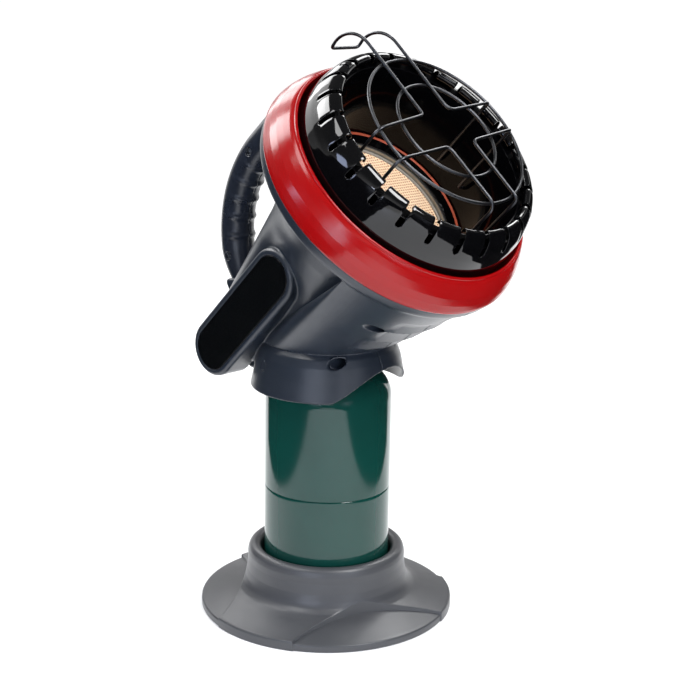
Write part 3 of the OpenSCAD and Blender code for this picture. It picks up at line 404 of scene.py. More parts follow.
def blend(a: np.ndarray, b: np.ndarray, k: float) -> np.ndarray:
    """Joins two distance fields with a fillet: min(a, b) less h^2 k / 4, with h = max(k - |a - b|, 0) / k.

    Args:
        a: First field.
        b: Second field.
        k: Width of the fillet.

    Returns:
        The joined field.
    """
    h = np.maximum(k - np.abs(a - b), 0) / k
    return np.minimum(a, b) - h * h * k / 4


def carve(a: np.ndarray, b: np.ndarray, k: float) -> np.ndarray:
    """Cuts field b out of field a with an edge rounded over k.

    Args:
        a: Field of the body.
        b: Field of the cut.
        k: Width of the rounding.

    Returns:
        The cut field.
    """
    return -blend(-a, b, k)


def slab(edge: np.ndarray, depth: np.ndarray, rounding: float) -> np.ndarray:
    """Distance to an outline pushed through a depth, its rim rounded.

    Args:
        edge: Distance to the outline, in its plane.
        depth: Distance past the slab's face.
        rounding: Radius of the rim.

    Returns:
        The distances.
    """
    e, d = edge + rounding, depth + rounding
    return np.hypot(np.maximum(e, 0), np.maximum(d, 0)) + np.minimum(np.maximum(e, d), 0) - rounding


Field = Callable[[np.ndarray], np.ndarray]


def gradient(shape: Field, points: np.ndarray, reach: float = 0.05) -> np.ndarray:
    """A field's gradient, from the difference between two readings on each axis.

    Args:
        shape: The field.
        points: Points, one in each row.
        reach: Distance from a point to each reading.

    Returns:
        The gradient at each point.
    """
    steps = reach * np.eye(3)
    return np.stack([(shape(points + step) - shape(points - step)) / (2 * reach) for step in steps], axis=1)


def sampled(shape: Field, low: np.ndarray, high: np.ndarray, cell: float) -> np.ndarray:
    """Reads a field on a grid of points, but only in blocks of cells near the surface.

    Args:
        shape: The field.
        low: Lowest corner of the space.
        high: Highest corner.
        cell: Size of a cell.

    Returns:
        The values on the grid. In the other blocks they are 1 outside and -1 inside.
    """
    # cells along a block's edge, and how near to its middle the surface has to be, in edges
    edge, near_block = 12, 1.15
    grid = lambda counts: np.stack(np.meshgrid(*[np.arange(n) for n in counts], indexing="ij"), axis=-1)
    blocks = np.ceil((high - low) / (cell * edge)).astype(int)
    middles, whole = grid(blocks).reshape(-1, 3), grid([edge + 1] * 3)
    reach = cell * edge
    far = shape(low + (middles + 0.5) * reach)
    values = np.ones(blocks * edge + 1, np.float32)
    for block, d in zip(middles, far):
        corner = block * edge
        view = tuple(slice(c, c + edge + 1) for c in corner)
        if abs(d) < reach * near_block:
            found = shape(low + (corner + whole.reshape(-1, 3)) * cell)
            values[view] = found.reshape(whole.shape[:3])
        elif d < 0:
            values[view] = -1.0
    return values


def crossings(values: np.ndarray) -> tuple[np.ndarray, np.ndarray]:
    """Finds the cells and edges of a grid where its values change sign.

    Args:
        values: Values on the grid's points, negative inside.

    Returns:
        A point for each crossed cell, at the mean of its edges' crossings and in cells from the grid's
        corner, and a quad for each crossed edge, which joins the points of the four cells round it.
    """
    inside = values < 0
    cells = np.array(values.shape) - 1
    total = np.zeros((int(np.prod(cells)), 4))
    crossed = []
    for axis in range(3):
        near, far = [slice(None)] * 3, [slice(None)] * 3
        near[axis], far[axis] = slice(0, -1), slice(1, None)
        near, far = tuple(near), tuple(far)
        flip = inside[near] != inside[far]
        at = np.argwhere(flip)
        f0, f1 = values[near][flip].astype(float), values[far][flip].astype(float)
        spot = at.astype(float)
        spot[:, axis] += f0 / (f0 - f1)
        u, w = [k for k in range(3) if k != axis]
        around = []
        for du, dw in ((-1, -1), (0, -1), (0, 0), (-1, 0)):
            owner = at.copy()
            owner[:, u] += du
            owner[:, w] += dw
            ok = ((owner >= 0) & (owner < cells)).all(1)
            index = np.ravel_multi_index(np.clip(owner, 0, cells - 1).T, cells)
            for k in range(3):
                total[:, k] += np.bincount(index[ok], spot[ok, k], len(total))
            total[:, 3] += np.bincount(index[ok], minlength=len(total))
            around.append(np.where(ok, index, -1))
        quad = np.stack(around, axis=1)
        turn = (f0 < 0) == (axis != 1)
        quad = np.where(turn[:, None], quad, quad[:, ::-1])
        crossed.append(quad[(quad >= 0).all(1)])
    used = np.flatnonzero(total[:, 3])
    number = np.full(len(total), -1)
    number[used] = np.arange(len(used))
    return total[used, :3] / total[used, 3:], number[np.vstack(crossed)]


def level_surface(
    shape: Field, low: Sequence, high: Sequence, cell: float
) -> tuple[np.ndarray, np.ndarray, np.ndarray]:
    """The surface where a distance field is zero: a point in each crossed cell, a quad for each crossed edge.

    Each point starts at the mean of the crossings of its cell's edges, and then slides down the field's
    gradient: p - f(p) grad f / |grad f|^2.

    Args:
        shape: The field: world points in, signed distances out.
        low: Lowest corner of the space.
        high: Highest corner.
        cell: Size of a cell.

    Returns:
        The points, the quads, and at each point the field's gradient as its normal.
    """
    low, high = np.asarray(low, float), np.asarray(high, float)
    spots, faces = crossings(sampled(shape, low, high, cell))
    points = low + spots * cell
    least_slope, longest_move = 0.25, 0.6 * cell
    for _ in range(2):
        f = shape(points)
        slope = gradient(shape, points)
        move = f[:, None] * slope / np.maximum((slope**2).sum(1), least_slope)[:, None]
        length = np.linalg.norm(move, axis=1)[:, None]
        points -= move * np.minimum(1, longest_move / np.maximum(length, 1e-9))
    normals = slope / np.maximum(np.linalg.norm(slope, axis=1), 1e-6)[:, None]
    return points, faces, normals


# ---------------------------------------------------------------- finishes


def linear(hexed: str) -> tuple[float, float, float, float]:
    """Turns an sRGB hex colour into the linear colour that a shader takes.

    Args:
        hexed: Colour such as "#a04028".

    Returns:
        Red, green, blue and alpha.
    """
    c = np.array([int(hexed[i : i + 2], 16) for i in (1, 3, 5)]) / 255
    c = np.where(c <= 0.04045, c / 12.92, ((c + 0.055) / 1.055) ** 2.4)
    return float(c[0]), float(c[1]), float(c[2]), 1.0


def empty_tree(owner: bpy.types.Material | bpy.types.World) -> bpy.types.NodeTree:
    """Gives an owner's node tree with nothing in it."""
    owner.use_nodes = True
    owner.node_tree.nodes.clear()
    return owner.node_tree


def add_node(
    tree: bpy.types.NodeTree, kind: str, settings: dict | None = None, links: dict | None = None
) -> bpy.types.Node:
    """Adds a node with its settings, and links to its sockets.

    Args:
        tree: The material's or the world's node tree.
        kind: Type of the node.
        settings: Values of its properties, or of its sockets by name or number.
        links: Sockets of other nodes that go into its sockets, by name or number.

    Returns:
        The node.
    """
    node = tree.nodes.new(kind)
    for key, value in (settings or {}).items():
        if isinstance(key, str) and hasattr(node, key):
            setattr(node, key, value)
        else:
            node.inputs[key].default_value = value
    for key, socket in (links or {}).items():
        tree.links.new(socket, node.inputs[key])
    return node


@dataclass(frozen=True)
class Finish:
    """A finish: base colour, gloss, and a mottle and a surface relief from noise on Object coordinates.

    Sizes of patterns are millimetres.
    """

    name: str
    colour: str
    roughness: float
    tint: str = ""
    tint_size: float = 30.0
    tint_amount: float = 0.5
    metallic: float = 0.0
    ior: float = 1.5
    specular: float = 0.5
    grain: float = 0.8
    relief: float = 0.05
    rough_spread: float = 0.06
    stretch: tuple[float, float, float] = (1.0, 1.0, 1.0)

    def build(self) -> bpy.types.Material:
        """Builds the material once and gives the same one back after that.

        Returns:
            The material.
        """
        found = bpy.data.materials.get(self.name)
        if found:
            return found
        material = bpy.data.materials.new(self.name)
        tree = empty_tree(material)
        coords = add_node(tree, "ShaderNodeTexCoord").outputs["Object"]
        place = add_node(tree, "ShaderNodeMapping", {"Scale": self.stretch}, {"Vector": coords})
        gloss = {"Metallic": self.metallic, "Specular IOR Level": self.specular}
        shader = add_node(tree, "ShaderNodeBsdfPrincipled", gloss)
        if self.metallic < 0.5:
            shader.inputs["IOR"].default_value = self.ior
        self.paint(tree, place.outputs["Vector"], shader)
        add_node(tree, "ShaderNodeOutputMaterial", links={"Surface": shader.outputs["BSDF"]})
        return material

    def paint(self, tree: bpy.types.NodeTree, vector: bpy.types.NodeSocket, shader: bpy.types.Node) -> None:
        """Links colour, roughness and relief into the shader.

        Args:
            tree: The material's tree.
            vector: The pattern's coordinates.
            shader: The principled shader.
        """
        cloud = add_node(
            tree,
            "ShaderNodeTexNoise",
            {"Scale": 1 / (self.tint_size * MM), "Detail": 4.0, "Roughness": 0.6},
            {"Vector": vector},
        )
        spread = add_node(
            tree,
            "ShaderNodeMapRange",
            {"From Min": NOISE_LOW, "From Max": NOISE_HIGH, "To Min": 0.0, "To Max": self.tint_amount},
            {"Value": cloud.outputs["Fac"]},
        )
        mix = add_node(
            tree,
            "ShaderNodeMix",
            {"data_type": "RGBA", 6: linear(self.colour), 7: linear(self.tint or self.colour)},
            {0: spread.outputs["Result"]},
        )
        tree.links.new(mix.outputs[2], shader.inputs["Base Color"])
        rough = add_node(
            tree,
            "ShaderNodeMapRange",
            {
                "From Min": NOISE_LOW,
                "From Max": NOISE_HIGH,
                "To Min": max(0.02, self.roughness - self.rough_spread),
                "To Max": min(1.0, self.roughness + self.rough_spread),
            },
            {"Value": cloud.outputs["Fac"]},
        )
        tree.links.new(rough.outputs["Result"], shader.inputs["Roughness"])
        self.raise_grain(tree, vector, shader)

    def tint_over(
        self, tree: bpy.types.NodeTree, shader: bpy.types.Node, colour: str, amount: bpy.types.NodeSocket
    ) -> None:
        """Mixes one more colour over the base colour that is linked so far.

        Args:
            tree: The material's tree.
            shader: The principled shader.
            colour: The colour, as sRGB hex.
            amount: How much of it shows, from 0 to 1.
        """
        under = shader.inputs["Base Color"].links[0].from_socket
        settings = {"data_type": "RGBA", 7: linear(colour)}
        mix = add_node(tree, "ShaderNodeMix", settings, {0: amount, 6: under})
        tree.links.new(mix.outputs[2], shader.inputs["Base Color"])

    def raise_grain(
        self, tree: bpy.types.NodeTree, vector: bpy.types.NodeSocket, shader: bpy.types.Node
    ) -> None:
        """Links the fine relief into the shader's normal.

        Args:
            tree: The material's tree.
            vector: The pattern's coordinates.
            shader: The principled shader.
        """
        fine = add_node(
            tree,
            "ShaderNodeTexNoise",
            {"Scale": 1 / (self.grain * MM), "Detail": 2.0, "Roughness": 0.5},
            {"Vector": vector},
        )
        bump = add_node(
            tree,
            "ShaderNodeBump",
            {"Strength": 1.0, "Distance": self.relief * MM},
            {"Height": fine.outputs["Fac"]},
        )
        tree.links.new(bump.outputs["Normal"], shader.inputs["Normal"])


@dataclass(frozen=True)
class PerforatedCeramic(Finish):
    """Pressed cordierite tile: rows of burner holes, their darker, pinker colour painted as shade down the
    holes.
    """

    pitch: float = 2.3
    hole: float = 0.62
    hole_edge: float = 0.3
    hole_depth: float = 0.4
    scatter: float = 0.12
    # colour of the holes: painted shade down the holes
    hole_shade_colour: str = "#b9694a"

    def paint(self, tree: bpy.types.NodeTree, vector: bpy.types.NodeSocket, shader: bpy.types.Node) -> None:
        """Adds the holes to the mottled face: a darker, pinker colour painted as shade down the holes, and a
        sunk bump.

        Args:
            tree: The material's tree.
            vector: The pattern's coordinates, turned so that z runs along the head's axis.
            shader: The principled shader.
        """
        super().paint(tree, vector, shader)
        level = add_node(
            tree,
            "ShaderNodeMapping",
            {"vector_type": "TEXTURE", "Rotation": (math.radians(HEAD_TILT), 0.0, 0.0)},
            {"Vector": vector},
        )
        flat = add_node(tree, "ShaderNodeSeparateXYZ", links={0: level.outputs["Vector"]})
        plane = add_node(tree, "ShaderNodeCombineXYZ", links={"X": flat.outputs["X"], "Y": flat.outputs["Y"]})
        dots = add_node(
            tree,
            "ShaderNodeTexVoronoi",
            {"voronoi_dimensions": "2D", "Scale": 1 / (self.pitch * MM), "Randomness": self.scatter},
            {"Vector": plane.outputs["Vector"]},
        )
        hole = add_node(
            tree,
            "ShaderNodeMapRange",
            {
                "interpolation_type": "SMOOTHSTEP",
                "From Min": self.hole / self.pitch * (1 - self.hole_edge),
                "From Max": self.hole / self.pitch * (1 + self.hole_edge),
                "To Min": 1.0,
                "To Max": 0.0,
            },
            {"Value": dots.outputs["Distance"]},
        )
        # the holes' darker, pinker colour is painted shade down the holes
        self.tint_over(tree, shader, self.hole_shade_colour, hole.outputs["Result"])
        sunk = add_node(
            tree,
            "ShaderNodeBump",
            {"Strength": 1.0, "Distance": self.hole_depth * MM, "invert": True},
            {"Height": hole.outputs["Result"]},
        )
        tree.links.new(sunk.outputs["Normal"], shader.inputs["Normal"])


@dataclass(frozen=True)
class HeatTinted(Finish):
    """Drawn steel that darkens and reddens towards the burner, by the piece's own "heat" attribute."""

    hot_colour: str = "#5a2a20"

    def paint(self, tree: bpy.types.NodeTree, vector: bpy.types.NodeSocket, shader: bpy.types.Node) -> None:
        """Adds the heat tint over the mottled colour.

        Args:
            tree: The material's tree.
            vector: The pattern's coordinates.
            shader: The principled shader.
        """
        super().paint(tree, vector, shader)
        heat = add_node(tree, "ShaderNodeAttribute", {"attribute_name": "heat"})
        self.tint_over(tree, shader, self.hot_colour, heat.outputs["Fac"])


class Finishes:
    """The finishes of the heater's pieces. Grains too fine to show are drawn as coarse as they need to be."""

    # Spark-textured ABS: a fine, even matt grain that sparkles where light grazes it
    housing = Finish(
        "spark_textured_abs", "#1f252e", 0.33, tint="#1a2028", tint_size=45, grain=0.65, relief=0.07,
        specular=0.56,
    )
    # Smooth-moulded nylon: satin, darker and bluer than the housing
    handle = Finish(
        "smooth_moulded_nylon", "#1b202a", 0.3, tint="#171b23", tint_size=40, grain=1.4, relief=0.012
    )
    # Textured polypropylene: the stand's mid grey, a little rougher than the housing
    stand = Finish(
        "textured_polypropylene", "#3e3f42", 0.38, tint="#37383b", tint_size=60, grain=0.7, relief=0.05
    )
    # Stove enamel, sprayed red: a hard gloss with a faint orange peel
    red = Finish(
        "red_stove_enamel", "#8e0507", 0.17, tint="#820406", tint_size=60, specular=0.4, grain=3.0,
        relief=0.01, rough_spread=0.03,
    )
    # Heat-proof enamel inside the reflector: black, a little duller from the burner's heat
    bowl = Finish(
        "black_heat_enamel", "#030304", 0.08, tint="#050506", tint_size=50, specular=0.12, grain=7.0,
        relief=0.02, rough_spread=0.02,
    )
    # Vitreous enamel on pressed steel, black: deep gloss, slightly wavy
    black = Finish(
        "black_vitreous_enamel", "#040405", 0.06, tint="#070708", tint_size=50, specular=0.5, grain=7.0,
        relief=0.02, rough_spread=0.02,
    )
    # Baked enamel on the drawn cylinder, bottle green: gloss with a long, faint wave
    green = Finish(
        "green_baked_enamel", "#0c3a33", 0.1, tint="#092f29", tint_size=50, specular=0.48, grain=9.0,
        relief=0.015, rough_spread=0.03,
    )
    # Printed polyester film over its adhesive: flat, glossy black
    label = Finish(
        "black_polyester_film", "#060708", 0.16, tint="#08090a", tint_size=20, specular=0.4, grain=5.0,
        relief=0.006, rough_spread=0.03,
    )
    # Drawn steel wire, nickel plated: satin grey metal, dulled by heat
    wire = HeatTinted(
        "nickel_plated_wire", "#4c4d50", 0.32, tint="#434447", tint_size=12, metallic=1.0, grain=1.2,
        relief=0.01,
    )
    # Pressed ceramic, unglazed: pale peach, matt
    tile = PerforatedCeramic(
        "pressed_cordierite", "#ffe2bd", 0.85, tint="#fbd7ab", tint_size=14, grain=0.7, relief=0.03
    )
    # Mild steel scaled by heat: rust-orange oxide, matt
    scaled = Finish("heat_scaled_steel", "#a8431f", 0.6, tint="#7c2c16", tint_size=9, grain=0.9, relief=0.05)
    # Fibre gasket: pale grey, soft and matt
    fibre = Finish(
        "ceramic_fibre_gasket", "#9c968c", 0.95, tint="#857f76", tint_size=4, grain=0.6, relief=0.12
    )
    # Zinc-plated steel: bright, bluish, with a fine spangle
    zinc = Finish(
        "zinc_plated_steel", "#b9bcc0", 0.3, tint="#a5a9ae", tint_size=5, metallic=1.0, grain=0.8,
        relief=0.012,
    )
    # Aluminised sheet: silvery and flecked, rougher than zinc
    sheet = Finish(
        "aluminised_sheet", "#a9a9a6", 0.42, tint="#93938f", tint_size=6, metallic=1.0, grain=1.0, relief=0.02
    )
    # Turned brass: warm metal with fine tool marks round its axis
    brass = Finish(
        "turned_brass", "#c9a65a", 0.26, tint="#b18f49", tint_size=8, metallic=1.0, grain=0.5, relief=0.01,
        stretch=(1, 1, 4),
    )
    # Drawn copper tube: reddish metal
    copper = Finish(
        "drawn_copper", "#c0714e", 0.3, tint="#a85f41", tint_size=6, metallic=1.0, grain=0.6, relief=0.01
    )
    # Die-cast zinc alloy: dull grey metal with a cast skin
    cast = Finish(
        "die_cast_zinc", "#8f9193", 0.45, tint="#7d8082", tint_size=10, metallic=1.0, grain=0.9, relief=0.03
    )
    # Patented spring wire: darker, smooth drawn metal
    spring = Finish(
        "spring_wire", "#8b8d90", 0.28, tint="#77797c", tint_size=6, metallic=1.0, grain=0.6, relief=0.008
    )
    # Nitrile rubber: black and matt, with a moulded skin
    rubber = Finish("nitrile_rubber", "#17181a", 0.7, tint="#1f2023", tint_size=12, grain=0.7, relief=0.03)
    # Moulded ABS of the two buttons' caps: red with a soft gloss, and black a little duller
    red_cap = Finish("red_moulded_abs", "#b01a14", 0.28, tint="#9c1510", tint_size=14, grain=1.2, relief=0.01)
    black_cap = Finish(
        "black_moulded_abs", "#141517", 0.36, tint="#1b1c1f", tint_size=14, grain=1.0, relief=0.015
    )
    # Glazed alumina of the spark electrode: off-white, glossy
    alumina = Finish("glazed_alumina", "#e6e1d6", 0.2, tint="#d8d2c4", tint_size=8, grain=1.5, relief=0.008)


def dress(piece: bpy.types.Object, finish: Finish, slot: str, body: Body, *nodes: str) -> bpy.types.Object:
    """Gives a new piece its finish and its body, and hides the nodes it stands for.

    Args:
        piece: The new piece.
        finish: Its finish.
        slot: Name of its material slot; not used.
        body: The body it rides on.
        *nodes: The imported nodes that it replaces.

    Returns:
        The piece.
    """
    if not piece.data.materials:
        piece.data.materials.append(finish.build())
    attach(piece, body.value)
    if nodes:
        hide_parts(*nodes)
    log.info("%s: %d faces on %s", piece.name, len(piece.data.polygons), body.value)
    return piece


def build_halves(
    shape: Field,
    reach: float,
    span: tuple[tuple[float, float], tuple[float, float]],
    cell: float,
    finish: Finish,
    slot: str,
    names: tuple[tuple[str, str], tuple[str, str]],
) -> None:
    """Builds a moulding as two halves, cut at the mid plane with a fine groove between them.

    Args:
        shape: The whole moulding's distance field.
        reach: How far it reaches to each side.
        span: Its lowest and highest y, and its lowest and highest z.
        cell: Size of the field's cells.
        finish: Its finish.
        slot: Its material slot.
        names: The name and the replaced node of the left half, then of the right half.
    """
    (y0, y1), (z0, z1) = span
    past_split = 1.5
    for side, (name, node) in zip((1, -1), names):
        half = lambda p, s=side: carve(shape(p), s * p[:, 0] - SPLIT_GAP, SPLIT_EDGE)
        x0, x1 = sorted((-side * past_split, side * reach))
        points, faces, normals = level_surface(half, (x0, y0, z0), (x1, y1, z1), cell)
        piece = make_piece(name, points, faces, weld=False, normals=normals)
        dress(piece, finish, slot, Body.HEATER, node)


# ---------------------------------------------------------------- stand


@dataclass
class Stand:
    """The round stand: a revolved moulding with three scalloped recesses in its skirt."""

    rim_r: float = 100.0
    collar_r: float = 51.0
    collar_out: float = 61.5
    foot_h: float = 8.2
    rim_h: float = 5.5
    recess_half: float = 40.0
    recess_first: float = -110.0
    recess_near: float = 64.2
    recess_slope: float = 0.24
    deck_slope: float = 0.14
    rim_round: float = 1.6
    shoulder: float = 0.7
    floor: float = 4.0
    wall: float = 3.0
    lobe: float = 0.9
    steps: int = 720

    def outside(self) -> np.ndarray:
        """The profile (r, z) from the socket's lip over the collar and down to the rim.

        Returns:
            The rounded profile, from the inside out.
        """
        b = self.rim_r
        points = [
            (self.collar_r, 44.0), (self.collar_r + 0.3, 46.6), (self.collar_r + 2.4, 49.2), (56.0, 50.0),
            (59.2, 49.4), (61.3, 47.2), (62.2, 43.0), (62.1, 38.0), (62.9, 30.0), (64.2, 24.0), (66.3, 20.0),
            (70.0, 17.0), (75.0, 15.0), (85.0, 12.0), (90.0, 10.6), (b - 1.8, self.foot_h),
        ]
        return softened(points, 6.0, 6)

    def recess_edge(self, angle: np.ndarray) -> np.ndarray:
        """Radius where the recess begins: the cutter's near side, d cos a - sqrt(R^2 - d^2 sin^2 a).

        Args:
            angle: Angles round the axis, in radians.

        Returns:
            The radius for each angle, the rim's radius where there is no recess.
        """
        half = math.radians(self.recess_half)
        b, near = self.rim_r, self.recess_near
        d = (b * b - near * near) / (2 * (b * math.cos(half) - near))
        radius = d - near
        third = 2 * np.pi / 3
        a = (angle - math.radians(self.recess_first) + third / 2) % third - third / 2
        root = np.sqrt(np.maximum(radius**2 - (d * np.sin(a)) ** 2, 0))
        return np.where(np.abs(a) < half, np.minimum(d * np.cos(a) - root, b), b)

    def rings(self, angle: np.ndarray) -> tuple[np.ndarray, np.ndarray]:
        """Rings of points: at each angle the profile runs to the recess, steps down and goes on to the rim.

        Args:
            angle: Angles round the axis, in radians.

        Returns:
            Radius and height, with a row for each ring.
        """
        edge = self.recess_edge(angle)
        line = self.outside()
        top_r, top_z = line[:, 0], line[:, 1]
        rim_in = self.rim_r - self.rim_round
        cut = edge < rim_in
        stop = np.minimum(edge, rim_in)
        # from this point of the profile on, its radius only grows
        growing, past = 12, 0.4
        lean = lambda r: self.rim_h + (self.rim_r - r) * self.recess_slope
        upper = lambda r: np.interp(r, top_r[growing:], top_z[growing:])
        rings = []
        ring = lambda r, z: rings.append(np.broadcast_arrays(r, z, edge)[:2])
        # the socket's wall and the collar, down to where no recess reaches
        lip = line[: np.argmax(top_r > self.recess_near - 1.2)]
        for r, z in [(self.collar_r, self.floor), (self.collar_r, 30.0), *lip]:
            ring(r, z)
        start = lip[-1, 0]
        for s in np.linspace(0, 1, 26)[1:]:
            r = start + (stop - self.shoulder - start) * s
            ring(r, upper(r))
        base = upper(stop)
        drop = np.maximum(base - lean(stop), 0) * cut
        slope = np.where(cut, self.recess_slope, self.deck_slope)
        # a rounded shoulder, the step's wall and a small root fillet
        for out, down in ((-0.35, 0.02), (-0.1, 0.06), (0.05, 0.16), (0.2, 0.9), (0.35, 1.0), (1.1, 1.0)):
            r = np.minimum(stop + out * cut, rim_in + past)
            ring(r, base - drop * down - np.maximum(r - stop, 0) * slope)
        # the recess's floor or the deck, out to the rim, which draws in a little at each recess
        low_rim = np.where(cut, lean(rim_in), upper(rim_in))
        lobe = rim_in - self.lobe * cut
        r0, z0 = rings[-1]
        for s in np.linspace(0, 1, 12)[1:]:
            ring(r0 + (lobe + past - r0) * s, z0 + (low_rim - z0) * s)
        for out, down in ((1.0, 0.25), (1.45, 0.9), (1.6, 1.9)):
            ring(lobe + out, low_rim - down)
        for out, z in ((1.6, 0.6), (1.0, 0.0)):
            ring(lobe + out, z)
        # the hollow underside and the socket's floor
        w = self.wall
        inner = [
            (self.rim_r - w, 0.0), (self.rim_r - w, 2.2), (self.recess_near + 4, 9.5),
            (self.collar_out - w, 20.0), (self.collar_out - w, 40.0), (self.collar_r + w, 40.0),
            (self.collar_r + w, 0.0), (0.0, 0.0), (0.0, self.floor), (self.collar_r, self.floor),
        ]
        for r, z in inner:
            ring(r, z)
        r, z = np.array(rings).transpose(1, 0, 2)
        return r, z

    def build(self) -> bpy.types.Object:
        """Builds the stand from its rings.

        Returns:
            The piece.
        """
        a = round_angles(self.steps)
        r, z = self.rings(a)
        points = np.stack([r * np.cos(a), r * np.sin(a), z], axis=-1)
        piece = make_piece("stand_moulding", points, quads(len(r), len(a), wrap_cols=True), crease=38.0)
        return dress(piece, Finishes.stand, "stand_plastic", Body.STAND, "stand_base")


# ---------------------------------------------------------------- fuel cylinder


@dataclass
class FuelCylinder:
    """The drawn steel cylinder: two cups that meet in a weld seam, and the threaded valve boss."""

    radius: float = 49.2
    low: float = 4.0
    seam: float = 99.7
    shoulder_z: float = 172.0
    shoulder_r: float = 22.0
    heel_r: float = 8.0
    steps: int = 224
    boss_foot_r: float = 13.4
    boss_low: float = 192.0
    bore_r: float = 4.4
    thread_r: float = 12.7
    thread_depth: float = 0.62
    thread_low: float = 197.5
    thread_top: float = 208.66
    pitch: float = 1.27

    def arc(
        self, cx: float, cz: float, r: float, a0: float, a1: float, steps: int = 14
    ) -> list[tuple[float, float]]:
        """Points on the arc (cx + r cos a, cz + r sin a) between two angles in degrees."""
        a = np.radians(np.linspace(a0, a1, steps))
        return list(zip(cx + r * np.cos(a), cz + r * np.sin(a)))

    def lower_cup(self) -> bpy.types.Object:
        """The lower cup: dished bottom, heel and a wall that tucks under the upper cup's edge.

        Returns:
            The piece.
        """
        r, low, s = self.radius, self.low, self.seam
        profile = [(0.0, low + 6), (16, low + 5.2), (r - 14, low + 1), (r - 11, low)]
        profile += self.arc(r - self.heel_r, low + self.heel_r, self.heel_r, -80, 0)
        profile += [(r, s - 2.4), (r - 0.05, s - 1.0), (r - 0.45, s - 0.45), (r - 0.9, s + 0.4)]
        piece = turned("lower_cup", softened(profile, 1.2, 4), self.steps)
        return dress(piece, Finishes.green, "green_enamel", Body.CYLINDER, "cylinder_lower_shell")

    def upper_cup(self) -> bpy.types.Object:
        """The upper cup: a rolled lower edge over the seam, the wall and the shoulder up to the boss.

        Returns:
            The piece.
        """
        r, s = self.radius, self.seam
        profile = [(r - 0.95, s + 0.4), (r - 0.9, s - 0.2), (r - 0.35, s - 0.35), (r, s + 0.15), (r, s + 2.0)]
        profile += self.arc(r - self.shoulder_r, self.shoulder_z, self.shoulder_r, 0, 84, 24)
        top = self.shoulder_z + self.shoulder_r
        profile += [(self.boss_foot_r + 3.4, top + 1.2), (self.boss_foot_r, top + 2.0)]
        piece = turned("upper_cup", softened(profile, 0.5, 3), self.steps)
        return dress(piece, Finishes.green, "green_enamel", Body.CYLINDER, "cylinder_upper_shell")

    def valve_boss(self) -> bpy.types.Object:
        """The boss with its thread: the radius swings between crest and root with z / pitch - a / 2 pi.

        Returns:
            The piece.
        """
        count, turns = 96, 99
        z_top, z_low = self.thread_top, self.thread_low
        foot_z = [self.boss_low, 196.0, 196.0, 196.3, z_low - 0.3, z_low]
        foot_r = [self.boss_foot_r, self.boss_foot_r, 14.6, 15.0, 15.0, 14.6]
        z = np.r_[foot_z, np.linspace(z_low, z_top, turns + 1)[1:], z_top, z_top, self.boss_low]
        base = np.r_[foot_r, np.full(turns, self.thread_r), self.thread_r - 1.4, self.bore_r, self.bore_r]
        a = round_angles(count)
        phase = (z[:, None] - z_low) / self.pitch - a / (2 * np.pi)
        wave = np.abs((phase % 1.0) - 0.5) * 2
        # the thread runs out over one pitch at both ends
        threaded = np.zeros(len(z))
        on = z[len(foot_z) : -3]
        threaded[len(foot_z) : -3] = np.clip(np.minimum(on - z_low, z_top - on) / self.pitch, 0, 1)
        groove = np.clip(wave * 1.25 - 0.12, 0, 1) * self.thread_depth
        r = base[:, None] - threaded[:, None] * groove
        points = np.stack([r * np.cos(a), r * np.sin(a), z[:, None] + 0 * a], axis=-1)
        piece = make_piece("threaded_boss", points, quads(len(z), count, wrap_cols=True), crease=50.0)
        return dress(piece, Finishes.zinc, "zinc_steel", Body.CYLINDER, "cylinder_valve_boss")

    def build(self) -> None:
        """Builds the cylinder's pieces."""
        self.lower_cup()
        self.upper_cup()
        self.valve_boss()


# ---------------------------------------------------------------- housing


